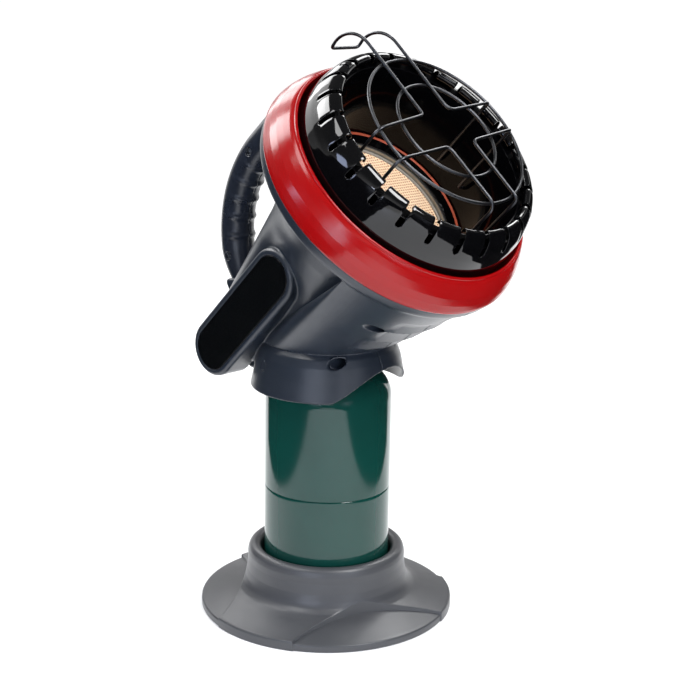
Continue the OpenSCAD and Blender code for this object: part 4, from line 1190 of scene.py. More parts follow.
@dataclass
class Housing:
    """The split housing, one distance field: funnel, barrel, belly, pods, back block, knuckle and skirt."""

    flange_r: float = 106.5
    pod_x: float = 60.0
    pod_in: float = 36.0
    pod_r: float = 22.0
    pod_front: float = 92.0
    pod_rear: float = 185.0
    pod_round: float = 3.6
    fillet: float = 2.2
    crisp: float = 0.5
    inner_edge: float = 0.8
    moat: float = 4.2
    moat_w: float = 17.0
    moat_fade: float = 9.0
    label_r: float = 17.3
    label_sink: float = 1.0
    deck: float = 216.0
    neck_r: float = 51.0
    skirt_r: float = 60.5
    skirt_low: float = 180.0
    skirt_t: float = 2.5
    arch_r: float = 50.0
    arch_top: float = 201.3
    arch_turn: float = 9.0
    arch_flow: float = 18.0
    back_x: float = 20.0
    grip_r: float = 13.3
    widen_top: float = 238.0
    widen_run: float = 9.0
    knuckle_x: float = 9.0
    belly_cut: float = 56.0
    hole_r: float = 4.0
    wall: float = 2.6
    boss_r: float = 6.0
    rod_r: float = 5.5
    inlet_r: float = 18.5
    louvre_low: float = 219.0
    louvre_pitch: float = 9.5
    louvre_depth: float = 2.6
    louvre_half: float = 36.0
    louvres: float = 3.0
    screw_reach: float = -12.0
    dimple: tuple[float, float, float] = (17.0, 200.0, -53.0)
    button_holes: tuple[tuple[float, float], ...] = ((0.0, 11.9), (-24.0, 6.9))
    button_sink: float = -8.0

    def __post_init__(self) -> None:
        """Works out the outlines and the belly's planes."""
        f = self.flange_r
        funnel = [
            (103.3, -9.6), (100.3, -11.6), (95.0, -14.6), (89.6, -18.4), (81.2, -24.8), (75.6, -35.0),
            (69.4, -46.0), (65.6, -56.0),
        ]
        head = [(-30, 0), (f - 0.8, 0), (f, -0.8), (f - 0.8, -5.5), (104.8, -8.2)] + funnel
        head += [(61.7, -70), (47.8, -169), (47.2, -173.5), (44.5, -176), (-30, -176)]
        # small radii at the flange and at the barrel's end, long ones where the funnel flows into the barrel
        radii = np.repeat([4.0, 200.0, 4.0], [6, 9, 3])
        self.head = Outline(softened(head, radii, 6, closed=True))
        inner = [(-30, 6), (93.0, 6), (93.0, -9.0)] + [(r - 8, t - 1.2) for r, t in funnel]
        self.hollow = Outline(inner + [(53.0, -70), (44.0, -120), (-30, -120)])
        s, g, d = self.skirt_r, self.skirt_low, self.deck
        outer = [
            (s, g), (s - 1.9, g + 9), (s - 3.2, g + 15), (s - 4, g + 20), (s - 5.3, g + 26),
            (s - 7.6, g + 32), (self.neck_r - 1.5, d),
        ]
        skirt = [(-20, d + 3), (-20, 150), (s, 150)] + outer + [(self.neck_r - 1.5, d + 3)]
        self.skirt = Outline(softened(skirt, 5.0, 4, closed=True))
        t = self.skirt_t
        space = [(-20, 120), (s - t, 120)] + [(r - t, min(z, d - t)) for r, z in outer] + [(-20, d - t)]
        self.space = Outline(space)
        lean = math.radians(BACK_LEAN)
        y0, z0 = START_SPOT[1:]
        down = lambda run: (y0 - run * math.sin(lean), z0 - run * math.cos(lean))
        a, b = down(-42), down(21)
        back = [
            a, b, (b[0] - 3, 184), (b[0] - 6, 182), (s - 14, 182), (s - 20, d), (50, 236),
            (a[0] - 27, a[1] + 4),
        ]
        self.back = Outline(softened(back, 4.0, 5, closed=True))
        knuckle = [(79.7, -14), (103.5, -9), (107.5, -12), (108.5, -30), (100.5, -42), (69.7, -38)]
        self.knuckle = Outline(softened(knuckle, 3.0, 5, closed=True))
        self.belly_n, self.belly_h = self.belly_planes()

    def belly_planes(self, count: int = 150) -> tuple[np.ndarray, np.ndarray]:
        """Planes n p = h that touch both the neck's disc and the flange's lower arc.

        For each compass direction the plane's slope is halved in until both shapes reach equally far.

        Args:
            count: Planes.

        Returns:
            The unit normals and the reaches.
        """
        a = np.linspace(0, 2 * np.pi, 240)
        disc = lambda r, z: np.stack([r * np.cos(a), r * np.sin(a), np.full_like(a, z)], axis=1)
        neck, arc = disc(self.neck_r, self.deck + 0.5), disc(self.flange_r - 4.5, -9.5)
        arc = arc[arc[:, 1] <= -self.belly_cut]
        far = HEAD.to_world(arc)
        course = round_angles(count)
        low, high = np.zeros(count), np.full(count, np.pi)
        for _ in range(40):
            slope = (low + high) / 2
            level = np.sin(slope)
            n = np.stack([np.cos(course) * level, np.sin(course) * level, np.cos(slope)], axis=1)
            flange_wins = (n @ far.T).max(1) > (n @ neck.T).max(1)
            low, high = np.where(flange_wins, slope, low), np.where(flange_wins, high, slope)
        return n, (n @ far.T).max(1)

    def belly(self, p: np.ndarray, t: np.ndarray) -> np.ndarray:
        """The belly: the hull of neck and flange arc, its front stepped by louvres.

        Args:
            p: World points.
            t: Their places along the head's axis.

        Returns:
            The distances.
        """
        d = (p @ self.belly_n.T - self.belly_h).max(1)
        x, y, z = p.T
        bow = 5.0 * (x / 34.0) ** 2
        rise = (z - self.louvre_low - bow) / self.louvre_pitch
        saw = 1.0 - (rise % 1.0)
        # the louvres fade out towards both sides, below the first and above the last
        patch = np.clip((self.louvre_half - np.abs(x)) / 7.0, 0, 1) * np.clip((rise + 0.02) * 9, 0, 1)
        patch = patch * np.clip((self.louvres - rise) * 3.0, 0, 1) * (y < -30)
        d = d + self.louvre_depth * (0.55 - saw**1.5) * patch
        return np.maximum(np.maximum(d, self.deck - z), t + 9.0)

    def across(self, v: np.ndarray, t: np.ndarray) -> np.ndarray:
        """Distance, seen from the side, to the straight stretch that the pods are drawn round."""
        return np.hypot(v, t - np.clip(t, -self.pod_rear, -self.pod_front))

    def pod(self, x: np.ndarray, across: np.ndarray) -> np.ndarray:
        """One side pod: a stadium along the head's axis, its rim rounded.

        Args:
            x: Distance from the mid plane.
            across: Distance to the stadium's straight stretch.

        Returns:
            The distances.
        """
        d = slab(across - self.pod_r, x - self.pod_x, self.pod_round)
        return np.maximum(d, self.pod_in - x)

    def label_recess(self, x: np.ndarray, across: np.ndarray) -> np.ndarray:
        """The stadium-shaped recess, cut outwards from the label's seat through pod and barrel alike.

        Args:
            x: Distance from the mid plane.
            across: Distance to the stadium's straight stretch.

        Returns:
            The distances.
        """
        return np.maximum(across - self.label_r, self.pod_x - self.label_sink - x)

    def skirt_cut(self, x: np.ndarray, y: np.ndarray) -> np.ndarray:
        """Height of the skirt's lower edge: its level edge and the front arch, flowing into each other.

        Args:
            x: World x.
            y: World y.

        Returns:
            The height for each point.
        """
        a = math.radians(self.arch_turn)
        w = x * math.cos(a) + y * math.sin(a)
        depth = -y * math.cos(a) + x * math.sin(a)
        arch = self.arch_top - self.arch_r + np.sqrt(np.maximum(self.arch_r**2 - w * w, 0))
        arch = np.where(depth > 0, arch, 0.0)
        return -blend(np.full_like(arch, -self.skirt_low), -arch, self.arch_flow)

    def field(self, p: np.ndarray) -> np.ndarray:
        """The housing's distance field.

        Args:
            p: World points.

        Returns:
            The distances.
        """
        x, y, z = p.T
        _, v, t = HEAD.from_world(p).T
        side = np.abs(x)
        r = np.hypot(x, v)
        across = self.across(v, t)
        fade = np.clip((side - self.pod_in) / self.moat_fade, 0, 1)
        moat = self.moat * np.clip(1 - (across - self.pod_r) / self.moat_w, 0, 1) ** 2 * fade
        d = self.head(r, t) + moat
        d = blend(d, self.belly(p, t), self.fillet)
        d = blend(d, self.pod(side, across), self.fillet)
        d = carve(d, self.label_recess(side, across), self.crisp)
        d = self.with_back(d, p, side)
        d = blend(d, slab(self.knuckle(v, t), side - self.knuckle_x, 2.5), 4.0)
        d = carve(d, self.hollow(r, t), self.inner_edge)
        d = self.with_skirt(d, p)
        return self.drill(d, p)

    def with_back(self, d: np.ndarray, p: np.ndarray, side: np.ndarray) -> np.ndarray:
        """Adds the back block and hollows it, all but the boss of its screw.

        Args:
            d: The field so far.
            p: World points.
            side: Distance from the mid plane.

        Returns:
            The field with the block.
        """
        x, y, z = p.T
        widened = np.clip((self.widen_top - z) / self.widen_run, 0, 1)
        width = self.grip_r + (self.back_x - self.grip_r) * widened
        block = self.back(y, z)
        d = blend(d, slab(block, side - width, 3.0), 3.0)
        room = np.maximum(block, side - width) + self.wall
        room = np.maximum(room, self.boss_r - np.hypot(y - FOOT_SCREW[0], z - FOOT_SCREW[1]))
        outside = self.skirt_r + 0.5 - np.hypot(x, y)
        room = np.maximum(room, np.where(z < self.deck + self.wall, outside, -50.0))
        return carve(d, room, self.crisp)

    def with_skirt(self, d: np.ndarray, p: np.ndarray) -> np.ndarray:
        """Adds the skirt with its arch, its screw's boss and its deck, which is open for the inlet.

        Args:
            d: The field so far.
            p: World points.

        Returns:
            The field with the skirt.
        """
        x, y, z = p.T
        r = np.hypot(x, y)
        skirt = -blend(-self.skirt(r, z), z - self.skirt_cut(x, y), 1.4)
        d = blend(d, skirt, 1.0)
        d = carve(d, self.space(r, z), self.inner_edge)
        by, bz = SHELL_SCREWS[1]
        d = np.minimum(d, np.maximum(np.hypot(y - by, z - bz) - self.rod_r, r - self.neck_r - 1.0))
        return carve(d, np.maximum(r - self.inlet_r, np.abs(z - self.deck) - 10), self.crisp)

    def drill(self, d: np.ndarray, p: np.ndarray) -> np.ndarray:
        """Cuts the screws' bores and the skirt's blind dimple in the right side, and the buttons' holes.

        Args:
            d: The field so far.
            p: World points.

        Returns:
            The cut field.
        """
        x, y, z = p.T
        bores = [(*spot, self.screw_reach) for spot in SHELL_SCREWS]
        for cy, cz, reach in [*bores, self.dimple]:
            d = carve(d, np.maximum(np.hypot(y - cy, z - cz) - self.hole_r, x - reach), self.inner_edge)
        b = BACK.from_world(p)
        for down, hole in self.button_holes:
            across = np.hypot(b[:, 0], b[:, 1] - down)
            d = carve(d, np.maximum(across - hole, self.button_sink - b[:, 2]), self.inner_edge)
        return d

    def build(self, cell: float) -> None:
        """Builds both halves.

        Args:
            cell: Size of the field's cells.
        """
        names = (("housing_shell_left", "housing_left"), ("housing_shell_right", "housing_right"))
        reach, span = 109.0, ((-146.0, 114.0), (176.0, 420.0))
        build_halves(self.field, reach, span, cell, Finishes.housing, "housing_plastic", names)


@dataclass
class Handle:
    """The carrying handle: a grip swept on an arc and a straight, with finger ridges on its inner side."""

    centre: tuple[float, float] = (9.7, 286.3)
    sweep_r: float = 95.2
    grip_r: float = 13.3
    start: float = -24.0
    end: float = 48.0
    straight: float = 57.5
    thinning: float = 0.3
    thin_run: float = 26.0
    ridges: tuple[float, ...] = (-2.0, 8.0, 18.0, 28.0, 38.0)
    ridge_h: float = 1.3
    ridge_w: float = 2.3
    screws: tuple[float, ...] = (-12.0, 44.0)
    bore_r: float = 3.4
    bore_end: float = -8.0

    def field(self, p: np.ndarray) -> np.ndarray:
        """The handle's distance field: distance to its centre line, less the grip's radius there.

        Args:
            p: World points.

        Returns:
            The distances.
        """
        x, y, z = p.T
        dy, dz = y - self.centre[0], z - self.centre[1]
        radius, angle = np.hypot(dy, dz), np.degrees(np.arctan2(dz, dy))
        e = math.radians(self.end)
        out = dy * math.cos(e) + dz * math.sin(e)
        on = -dy * math.sin(e) + dz * math.cos(e)
        run = np.where(angle > self.end, 0, angle - self.start) * math.radians(1) * self.sweep_r
        thin = 1 - self.thinning * np.clip(1 - run / self.thin_run, 0, 1) ** 1.5
        bend = np.hypot(radius - self.sweep_r, x) - self.grip_r * thin
        bend = np.maximum(bend, (self.start - angle) * math.radians(1) * radius)
        inner = np.clip((self.sweep_r - radius) / 9.0 + 0.25, 0, 1)
        for ridge in self.ridges:
            off = (angle - ridge) * math.radians(1) * radius
            bend = bend - self.ridge_h * np.exp(-((off / self.ridge_w) ** 2)) * inner
        past = on - np.clip(on, 0, self.straight)
        line = np.sqrt((out - self.sweep_r) ** 2 + x**2 + past**2) - self.grip_r
        d = np.where(on > 0, line, bend)
        d = np.where((on <= 0) & (angle > self.start - 60), np.minimum(bend, line), d)
        for screw in self.screws:
            cy = self.centre[0] + self.sweep_r * math.cos(math.radians(screw))
            cz = self.centre[1] + self.sweep_r * math.sin(math.radians(screw))
            d = carve(d, np.maximum(np.hypot(y - cy, z - cz) - self.bore_r, x - self.bore_end), 0.7)
        return d

    def build(self, cell: float) -> None:
        """Builds both halves of the handle.

        Args:
            cell: Size of the field's cells.
        """
        names = (("grip_left", "handle_left"), ("grip_right", "handle_right"))
        reach, span = 15.0, ((10.0, 121.0), (236.0, 416.0))
        build_halves(self.field, reach, span, cell, Finishes.handle, "handle_plastic", names)


@dataclass
class Label:
    """The bare plate sunk in each pod's face: a stadium with a rounded rim."""

    radius: float = 16.7
    front: float = 92.0
    rear: float = 185.0
    face_x: float = 59.75
    thickness: float = 0.75

    def build(self) -> None:
        """Builds both plates: rings of the stadium's outline, drawn in and lifted to the mid line."""
        a = round_angles(96)
        middle = np.where(np.cos(a) >= 0, -self.front, -self.rear)
        r, t = self.radius, self.thickness
        rings = [
            (r, -t), (r, -0.25), (r - 0.1, -0.08), (r - 0.3, 0.0), (r - 1.5, 0.0), (r / 2, 0.0), (0.0, 0.0)
        ]
        sides = ((1, "bare_plate_left", "label_plate_left"), (-1, "bare_plate_right", "label_plate_right"))
        for side, name, node in sides:
            x = lambda h: np.full_like(a, side * (self.face_x + h))
            rows = [np.stack([x(h), r * np.sin(a), middle + r * np.cos(a)], axis=1) for r, h in rings]
            points = HEAD.to_world(np.array(rows))
            piece = make_piece(name, points, quads(len(rows), len(a), wrap_cols=True), crease=40.0)
            dress(piece, Finishes.label, "label_film", Body.HEATER, node)


# ---------------------------------------------------------------- front rings and reflector


@dataclass
class Front:
    """The red ring, the slotted ring and the reflector bowl."""

    steps: int = 224
    slots: int = 24
    slot_first: float = 7.0
    slot_w: float = 4.2
    slot_end_r: float = 89.2
    sheet: float = 1.0
    pressed_r: float = 0.25
    bead_at: tuple[float, float] = (95.4, 25.7)
    bead_r: float = 1.25

    def red_ring(self) -> bpy.types.Object:
        """The red ring: a crowned cone with a rolled double edge in front.

        Returns:
            The piece.
        """
        cone = [
            (107.0, 0.2), (107.4, 1.2), (107.2, 3.5), (106.0, 8.2), (104.0, 13.5), (101.3, 18.6),
            (98.8, 22.8), (97.5, 24.6),
        ]
        a = np.radians(np.linspace(-15, 180, 14))
        bead = np.stack([np.cos(a), np.sin(a)], axis=1) * self.bead_r + np.array(self.bead_at)
        inside = [
            (94.1, 1.0), (96.3, 1.0), (96.3, 21.0), (98.4, 19.0), (102.4, 10.0), (105.0, 2.0),
            (101.2, 2.0), (101.2, 0.2),
        ]
        profile = np.vstack([softened(cone, 6.0, 5), [(97.1, 25.0)], bead, inside])
        piece = turned("red_ring", profile, 288, HEAD, closed=True, crease=35.0)
        return dress(piece, Finishes.red, "red_enamel", Body.HEATER, "front_ring")

    def dome_line(self) -> np.ndarray:
        """The slotted ring's section (r, t) from the lip's inner edge over the crest down to its foot.

        Returns:
            The section, with even steps of about 1.3 mm.
        """
        points = [
            (75.9, 52.6), (76.1, 55.0), (76.9, 56.9), (78.4, 57.6), (80.0, 57.3), (81.8, 56.5), (83.8, 55.0),
            (85.2, 53.0), (86.3, 51.0), (87.2, 49.0), (87.9, 47.0), (88.7, 44.6), (90.2, 38.0), (91.3, 30.3),
            (91.5, 14.0), (91.7, 2.4), (93.2, 1.0), (99.5, 1.0),
        ]
        return resampled(softened(points, 3.0, 5), 1.3)

    def slotted_grid(self) -> tuple[np.ndarray, np.ndarray]:
        """The section turned about the axis, its grid drawn together along each slot.

        In a slot a column keeps its distance from the slot's middle line, and the row at the slot's end
        bulges by the half circle of the slot's width. The faces inside the slots are left out.

        Returns:
            The points and the quads.
        """
        line = self.dome_line()
        s = run_along(line)
        half = self.slot_w / 2
        foot = line[:, 0].argmax()
        end = np.interp(self.slot_end_r, line[:foot, 0], s[:foot])
        # rows down to the slots' ends and on to the foot, columns across a slot and across the land beside it
        last, below, across, beside = 15, 39, 9, 8
        rows = np.r_[np.linspace(0, end - half, last + 1), np.linspace(end - half, s[-1], below + 1)[1:]]
        fan = np.linspace(np.pi, 0, across)
        lands = np.linspace(0, 1, beside + 2)[1:-1]
        pitch = 2 * np.pi / self.slots
        bump = np.r_[half * np.sin(fan), np.zeros(beside)]
        # the bulge fades out over 6 mm up the slot and over 7 mm down to the foot
        past = rows - rows[last]
        ease = np.where(past < 0, np.clip(1 + past / 6, 0, 1), np.clip(1 - past / 7, 0, 1) ** 2)
        along = rows[:, None] + bump[None] * ease[:, None]
        r = np.interp(along, s, line[:, 0])
        z = np.interp(along, s, line[:, 1])
        in_slot = np.arcsin(np.clip(half * np.cos(fan) / r[:, :across], -1, 1))
        edge = np.arcsin(half / r[:, across:])
        on_land = edge + (pitch - 2 * edge) * lands
        angle = np.concatenate([in_slot, on_land], axis=1)
        turn = math.radians(self.slot_first) + pitch * np.arange(self.slots)
        angle = (angle[:, None, :] + turn[None, :, None]).reshape(len(rows), -1)
        r, z = np.tile(r, (1, self.slots)), np.tile(z, (1, self.slots))
        points = np.stack([r * np.cos(angle), r * np.sin(angle), z], axis=-1)
        per = across + beside
        cols = per * self.slots
        faces = quads(len(rows), cols, wrap_cols=True)
        row, col = faces[:, 0] // cols, faces[:, 0] % per
        return points, faces[~((row < last) & (col < across - 1))]

    def slotted_ring(self) -> bpy.types.Object:
        """The slotted ring: sheet with slots from the inner edge out, its pressed edges rounded.

        Returns:
            The piece.
        """
        points, faces = self.slotted_grid()
        piece = make_piece("slotted_enamel_ring", HEAD.to_world(points), faces)
        wall = piece.modifiers.new("sheet", "SOLIDIFY")
        wall.thickness, wall.offset = self.sheet * MM, -1.0
        rim = piece.modifiers.new("pressed_edges", "BEVEL")
        rim.width, rim.segments = self.pressed_r * MM, 2
        rim.limit_method, rim.angle_limit = "ANGLE", math.radians(50)
        return dress(piece, Finishes.black, "black_enamel", Body.HEATER, "slotted_ring")

    def bowl(self) -> bpy.types.Object:
        """The reflector bowl: a conical wall with a turned-out rim and a screwed foot flange.

        Returns:
            The piece.
        """
        profile = [
            (81.5, -17.5), (81.5, -16.5), (67.0, -16.5), (66.9, -15.2), (76.0, 48.0), (85.3, 48.0),
            (85.3, 49.0), (75.0, 49.0), (72.4, 31.0), (65.5, -16.5), (65.5, -17.5),
        ]
        profile = softened(profile, 0.6, 4, closed=True)
        piece = turned("reflector_bowl_pressing", profile, self.steps, HEAD, closed=True, crease=40.0)
        return dress(piece, Finishes.bowl, "black_enamel", Body.HEATER, "reflector_bowl")

    def build(self) -> None:
        """Builds the rings and the bowl."""
        self.red_ring()
        self.slotted_ring()
        self.bowl()


# ---------------------------------------------------------------- guard


@dataclass
class Guard:
    """The wire guard: a hooked wire over the top, an elbow on each side and two hoops welded under them."""

    wire_r: float = 1.2
    height: float = 71.0
    foot: float = 4.0
    foot_run: float = 7.0
    left_in: tuple[tuple[float, float], ...] = ((-16.3, 13.2), (-11.9, -15.0))
    right_in: tuple[tuple[float, float], ...] = ((12.1, 15.0), (15.5, -12.3))
    left_end: tuple[tuple[float, float], ...] = ((-66.7, 5.5), (-65.6, -20.4))
    right_end: tuple[tuple[float, float], ...] = ((59.8, 19.0), (63.6, -6.5))
    low_end: tuple[tuple[float, float], ...] = ((-4.7, -67.3), (21.7, -64.6))
    hook_centre: tuple[float, float] = (77.0, 47.5)
    hook_r: float = 23.5
    hook_low: float = 42.0
    hook_slope: float = 6.5
    hook_draw: tuple[float, float] = (2.2, 1.2)
    weld_sink: float = 0.15
    hot_below: float = 48.0
    hot_run: float = 40.0
    hot_most: float = 0.55
    ring_r: float = 63.7
    ring_small_r: float = 40.6

    def leg(self, end: tuple[float, float]) -> list[tuple[float, float, float]]:
        """Corners of a leg: out through the bowl, up, and onto the arm.

        Args:
            end: Place (x, v) of the arm's end.

        Returns:
            The corners, from the foot's end up to the arm.
        """
        x, v = end
        k = 1 + self.foot_run / math.hypot(x, v)
        return [(x * k, v * k, self.foot), (x, v, self.foot), (x, v, self.height)]

    def bent(self, corners: Sequence, radii: Sequence) -> np.ndarray:
        """A wire's centre line with a radius of its own at each corner.

        Args:
            corners: Corners of the line.
            radii: Radius at each corner.

        Returns:
            The line with even steps.
        """
        p = np.asarray(corners, float)
        return resampled(softened(p, np.asarray(radii, float), 9), 1.1)

    def hooked_line(self) -> np.ndarray:
        """Centre line of the hooked wire: up both sides of the head and round the slotted ring in front.

        Returns:
            The points.
        """
        cv, ct = self.hook_centre
        slope = math.tan(math.radians(self.hook_slope))
        a = np.radians(np.linspace(90, 3, 12))
        over_v, over_t = cv + self.hook_r * np.cos(a), ct + self.hook_r * np.sin(a)
        share = np.linspace(0, 1, len(a))
        arms = []
        for (x0, v0), draw in zip((self.left_in[0], self.right_in[0]), self.hook_draw):
            x = x0 - (over_v - v0) * slope + draw * share
            arms.append([(x0, v0, self.height), *zip(x, over_v, over_t)])
        left, right = arms
        bar = [(arm[-1][0], over_v[-1] - 0.6, self.hook_low) for arm in arms]
        corners = self.leg(self.left_end[0]) + left + bar + right[::-1] + self.leg(self.right_end[0])[::-1]
        radii = [0, 3, 7.5, 4] + [6] * 12 + [3.5, 3.5] + [6] * 12 + [8, 3.0, 3, 0]
        return self.bent(corners, radii)

    def elbow_line(
        self,
        inner: tuple[float, float],
        side: tuple[float, float],
        low: tuple[float, float],
        radii: Sequence,
    ) -> np.ndarray:
        """Centre line of an elbow: a side arm, the corner and the lower arm.

        Args:
            inner: Place of the corner.
            side: Place of the side arm's end.
            low: Place of the lower arm's end.
            radii: Radius at each corner.

        Returns:
            The points.
        """
        corners = self.leg(side) + [(*inner, self.height)] + self.leg(low)[::-1]
        return self.bent(corners, radii)

    def wire(self, name: str, line: np.ndarray, node: str, closed: bool = False) -> bpy.types.Object:
        """Draws a wire along a line of the head's frame, its "heat" attribute falling off from the burner.

        Args:
            name: Name of the piece.
            line: Its centre line.
            node: The node it replaces.
            closed: Whether the line is a hoop.

        Returns:
            The piece.
        """
        points, faces = tube(line, self.wire_r, 12, closed)
        piece = make_piece(name, HEAD.to_world(points), faces)
        at = np.zeros(len(piece.data.vertices) * 3)
        piece.data.vertices.foreach_get("co", at)
        t = HEAD.from_world(at.reshape(-1, 3) / MM)[:, 2]
        heat = piece.data.attributes.new("heat", "FLOAT", "POINT")
        hot = np.clip((self.hot_below - t) / self.hot_run, 0, 1) * self.hot_most
        heat.data.foreach_set("value", hot.astype(np.float32))
        return dress(piece, Finishes.wire, "guard_steel", Body.HEATER, node)

    def build(self) -> None:
        """Builds the three wires and the two hoops."""
        self.wire("hooked_wire", self.hooked_line(), "guard_wire_hooked")
        low_left, low_right = self.low_end
        left = self.elbow_line(self.left_in[1], self.left_end[1], low_left, [0, 3, 7.5, 6, 7.5, 3, 0])
        right = self.elbow_line(self.right_in[1], self.right_end[1], low_right, [0, 3, 3.0, 5, 3.5, 3, 0])
        # the lines' left is the view's, and the pieces' left is the heater's own, +X
        self.wire("elbow_wire_left", right, "guard_wire_left")
        self.wire("elbow_wire_right", left, "guard_wire_right")
        a = round_angles(160)
        under = np.full_like(a, self.height - 2 * self.wire_r + self.weld_sink)
        hoops = (
            ("hoop_large", self.ring_r, "guard_ring_large"),
            ("hoop_small", self.ring_small_r, "guard_ring_small"),
        )
        for name, r, node in hoops:
            self.wire(name, np.stack([r * np.cos(a), r * np.sin(a), under], axis=1), node, closed=True)


# ---------------------------------------------------------------- burner


@dataclass
class Burner:
    """The ceramic tile with its gasket and the scaled steel ring round it."""

    tile_r: float = 57.0
    tile_top: float = -20.8
    tile_t: float = 13.0
    gasket_r: float = 59.2
    scale_r: float = 62.2

    def tile(self) -> bpy.types.Object:
        """The tile: a flat disc with a small pressed chamfer.

        Returns:
            The piece.
        """
        t, low = self.tile_top, self.tile_top - self.tile_t
        r, face = self.tile_r, t - 0.35
        profile = [(0, low), (r, low), (r, t - 0.8), (r - 0.8, t), (r - 2.4, t), (r - 2.8, face), (0, face)]
        piece = turned("perforated_tile", np.array(profile, float), 160, HEAD, crease=30.0)
        return dress(piece, Finishes.tile, "ceramic", Body.HEATER, "burner_tile")

    def gasket(self) -> bpy.types.Object:
        """The fibre gasket: a band that bulges a little over the tile's edge.

        Returns:
            The piece.
        """
        t, low = self.tile_top, self.tile_top - self.tile_t
        r, g = self.tile_r, self.gasket_r
        profile = [(r, low), (g, low), (g, t + 0.1), (g - 0.6, t + 0.7), (r + 0.5, t + 0.7), (r, t + 0.1)]
        profile = softened(profile, 0.5, 4, closed=True)
        piece = turned("tile_gasket_band", profile, 160, HEAD, closed=True, crease=40.0)
        return dress(piece, Finishes.fibre, "gasket_fibre", Body.HEATER, "tile_gasket")

    def trim(self) -> bpy.types.Object:
        """The trim ring: a scaled outer lip and an enamelled cone down to the pan, two finishes on one piece.

        Returns:
            The piece.
        """
        lip = [(63.2, -10.9), (63.9, -10.3), (64.9, -10.2), (65.3, -10.9), (65.2, -17.5)]
        cone = [(60.6, -17.5), (60.2, -16.3), (60.9, -15.4)]
        profile = softened(lip + cone, 0.35, 4, closed=True)
        piece = turned("burner_trim", profile, 192, HEAD, closed=True, crease=40.0)
        for finish in (Finishes.scaled, Finishes.black):
            piece.data.materials.append(finish.build())
        middle = np.zeros(len(piece.data.polygons) * 3)
        piece.data.polygons.foreach_get("center", middle)
        at = HEAD.from_world(middle.reshape(-1, 3) / MM)
        dark = (np.hypot(at[:, 0], at[:, 1]) < self.scale_r).astype(np.int32)
        piece.data.polygons.foreach_set("material_index", dark)
        return dress(piece, Finishes.scaled, "heat_tinted_steel", Body.HEATER, "burner_trim_ring")

    def build(self) -> None:
        """Builds the burner's visible pieces."""
        self.tile()
        self.gasket()
        self.trim()


# ---------------------------------------------------------------- buttons and inner parts


@dataclass(frozen=True)
class Button:
    """One push button: its cap's, flange's and shaft's radii, the cap's height, and its place up the back."""

    name: str
    node: str
    body: Body
    finish: Finish
    slot: str
    radius: float
    flange_r: float
    shaft_r: float
    height: float
    up: float


@dataclass
class Controls:
    """The two push buttons on the back: dished caps with a rounded rim over a retaining flange."""

    low: float = -5.3
    flange_t: float = 2.0
    shaft_low: float = -21.5
    rim: float = 0.8
    dish: float = 0.9
    dish_edge: float = 0.85
    start: Button = Button(
        "start_button_cap", "start_button", Body.START, Finishes.red_cap, "red_plastic",
        radius=11.5, flange_r=12.7, shaft_r=0.0, height=4.0, up=0.0,
    )
    # this button's shaft runs down through the bracket
    off: Button = Button(
        "off_button_cap", "off_button", Body.OFF, Finishes.black_cap, "black_plastic",
        radius=6.5, flange_r=8.5, shaft_r=2.5, height=3.0, up=24.0,
    )

    def cap(self, b: Button) -> bpy.types.Object:
        """One button: flange, stem and a cap whose top dishes in by a parabola.

        Args:
            b: The button.

        Returns:
            The piece.
        """
        r, low, top = b.radius, self.low, self.low + self.flange_t
        shares = np.linspace(self.dish_edge, 0, 8)
        dish = [(r * k, b.height - self.dish * (1 - (k / self.dish_edge) ** 2)) for k in shares]
        shaft = [(0, low)]
        if b.shaft_r:
            shaft = [(0, self.shaft_low), (b.shaft_r, self.shaft_low), (b.shaft_r, low)]
        stem = [
            (b.flange_r, low), (b.flange_r, top), (r, top), (r, b.height - self.rim), (r - self.rim, b.height)
        ]
        points, faces = revolved(softened(shaft + stem + dish, 0.5, 4), 96)
        points = BACK.to_world(points - np.array([0.0, b.up, 0.0]))
        piece = make_piece(b.name, points, faces, crease=40.0)
        return dress(piece, b.finish, b.slot, b.body, b.node)

    def build(self) -> None:
        """Builds both buttons."""
        self.cap(self.start)
        self.cap(self.off)


@dataclass
class Inside:
    """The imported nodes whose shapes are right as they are: each gets its finish."""

    finishes: dict[str, Finish] = field(
        default_factory=lambda: {
            "check_valve_core": Finishes.brass,
            "check_valve_pin": Finishes.brass,
            "relief_valve": Finishes.zinc,
            "housing_screws": Finishes.zinc,
            "reflector_screws": Finishes.zinc,
            "burner_pan": Finishes.sheet,
            "mixing_tube": Finishes.sheet,
            "gas_jet": Finishes.brass,
            "jet_holder": Finishes.brass,
            "gas_pipe": Finishes.brass,
            "inlet_fitting": Finishes.brass,
            "inlet_seal": Finishes.rubber,
            "inlet_probe": Finishes.zinc,
            "regulator_body": Finishes.cast,
            "regulator_diaphragm": Finishes.rubber,
            "regulator_spring": Finishes.spring,
            "regulator_cover": Finishes.cast,
            "regulator_outlet": Finishes.brass,
            "valve_body": Finishes.brass,
            "valve_stem": Finishes.zinc,
            "valve_bracket": Finishes.zinc,
            "start_button_spring": Finishes.spring,
            "off_button_spring": Finishes.spring,
            "piezo_igniter": Finishes.black_cap,
            "piezo_plunger": Finishes.zinc,
            "pilot_bracket": Finishes.zinc,
            "pilot_burner": Finishes.brass,
            "thermocouple": Finishes.copper,
            "spark_electrode": Finishes.alumina,
            "tip_switch_case": Finishes.black_cap,
            "tip_switch_ball": Finishes.zinc,
        }
    )

    def build(self) -> None:
        """Gives each kept node its finish."""
        for name, finish in self.finishes.items():
            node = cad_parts[name]
            node.data.materials.clear()
            node.data.materials.append(finish.build())
            log.info("%s: %s", name, finish.name)


# ---------------------------------------------------------------- studio


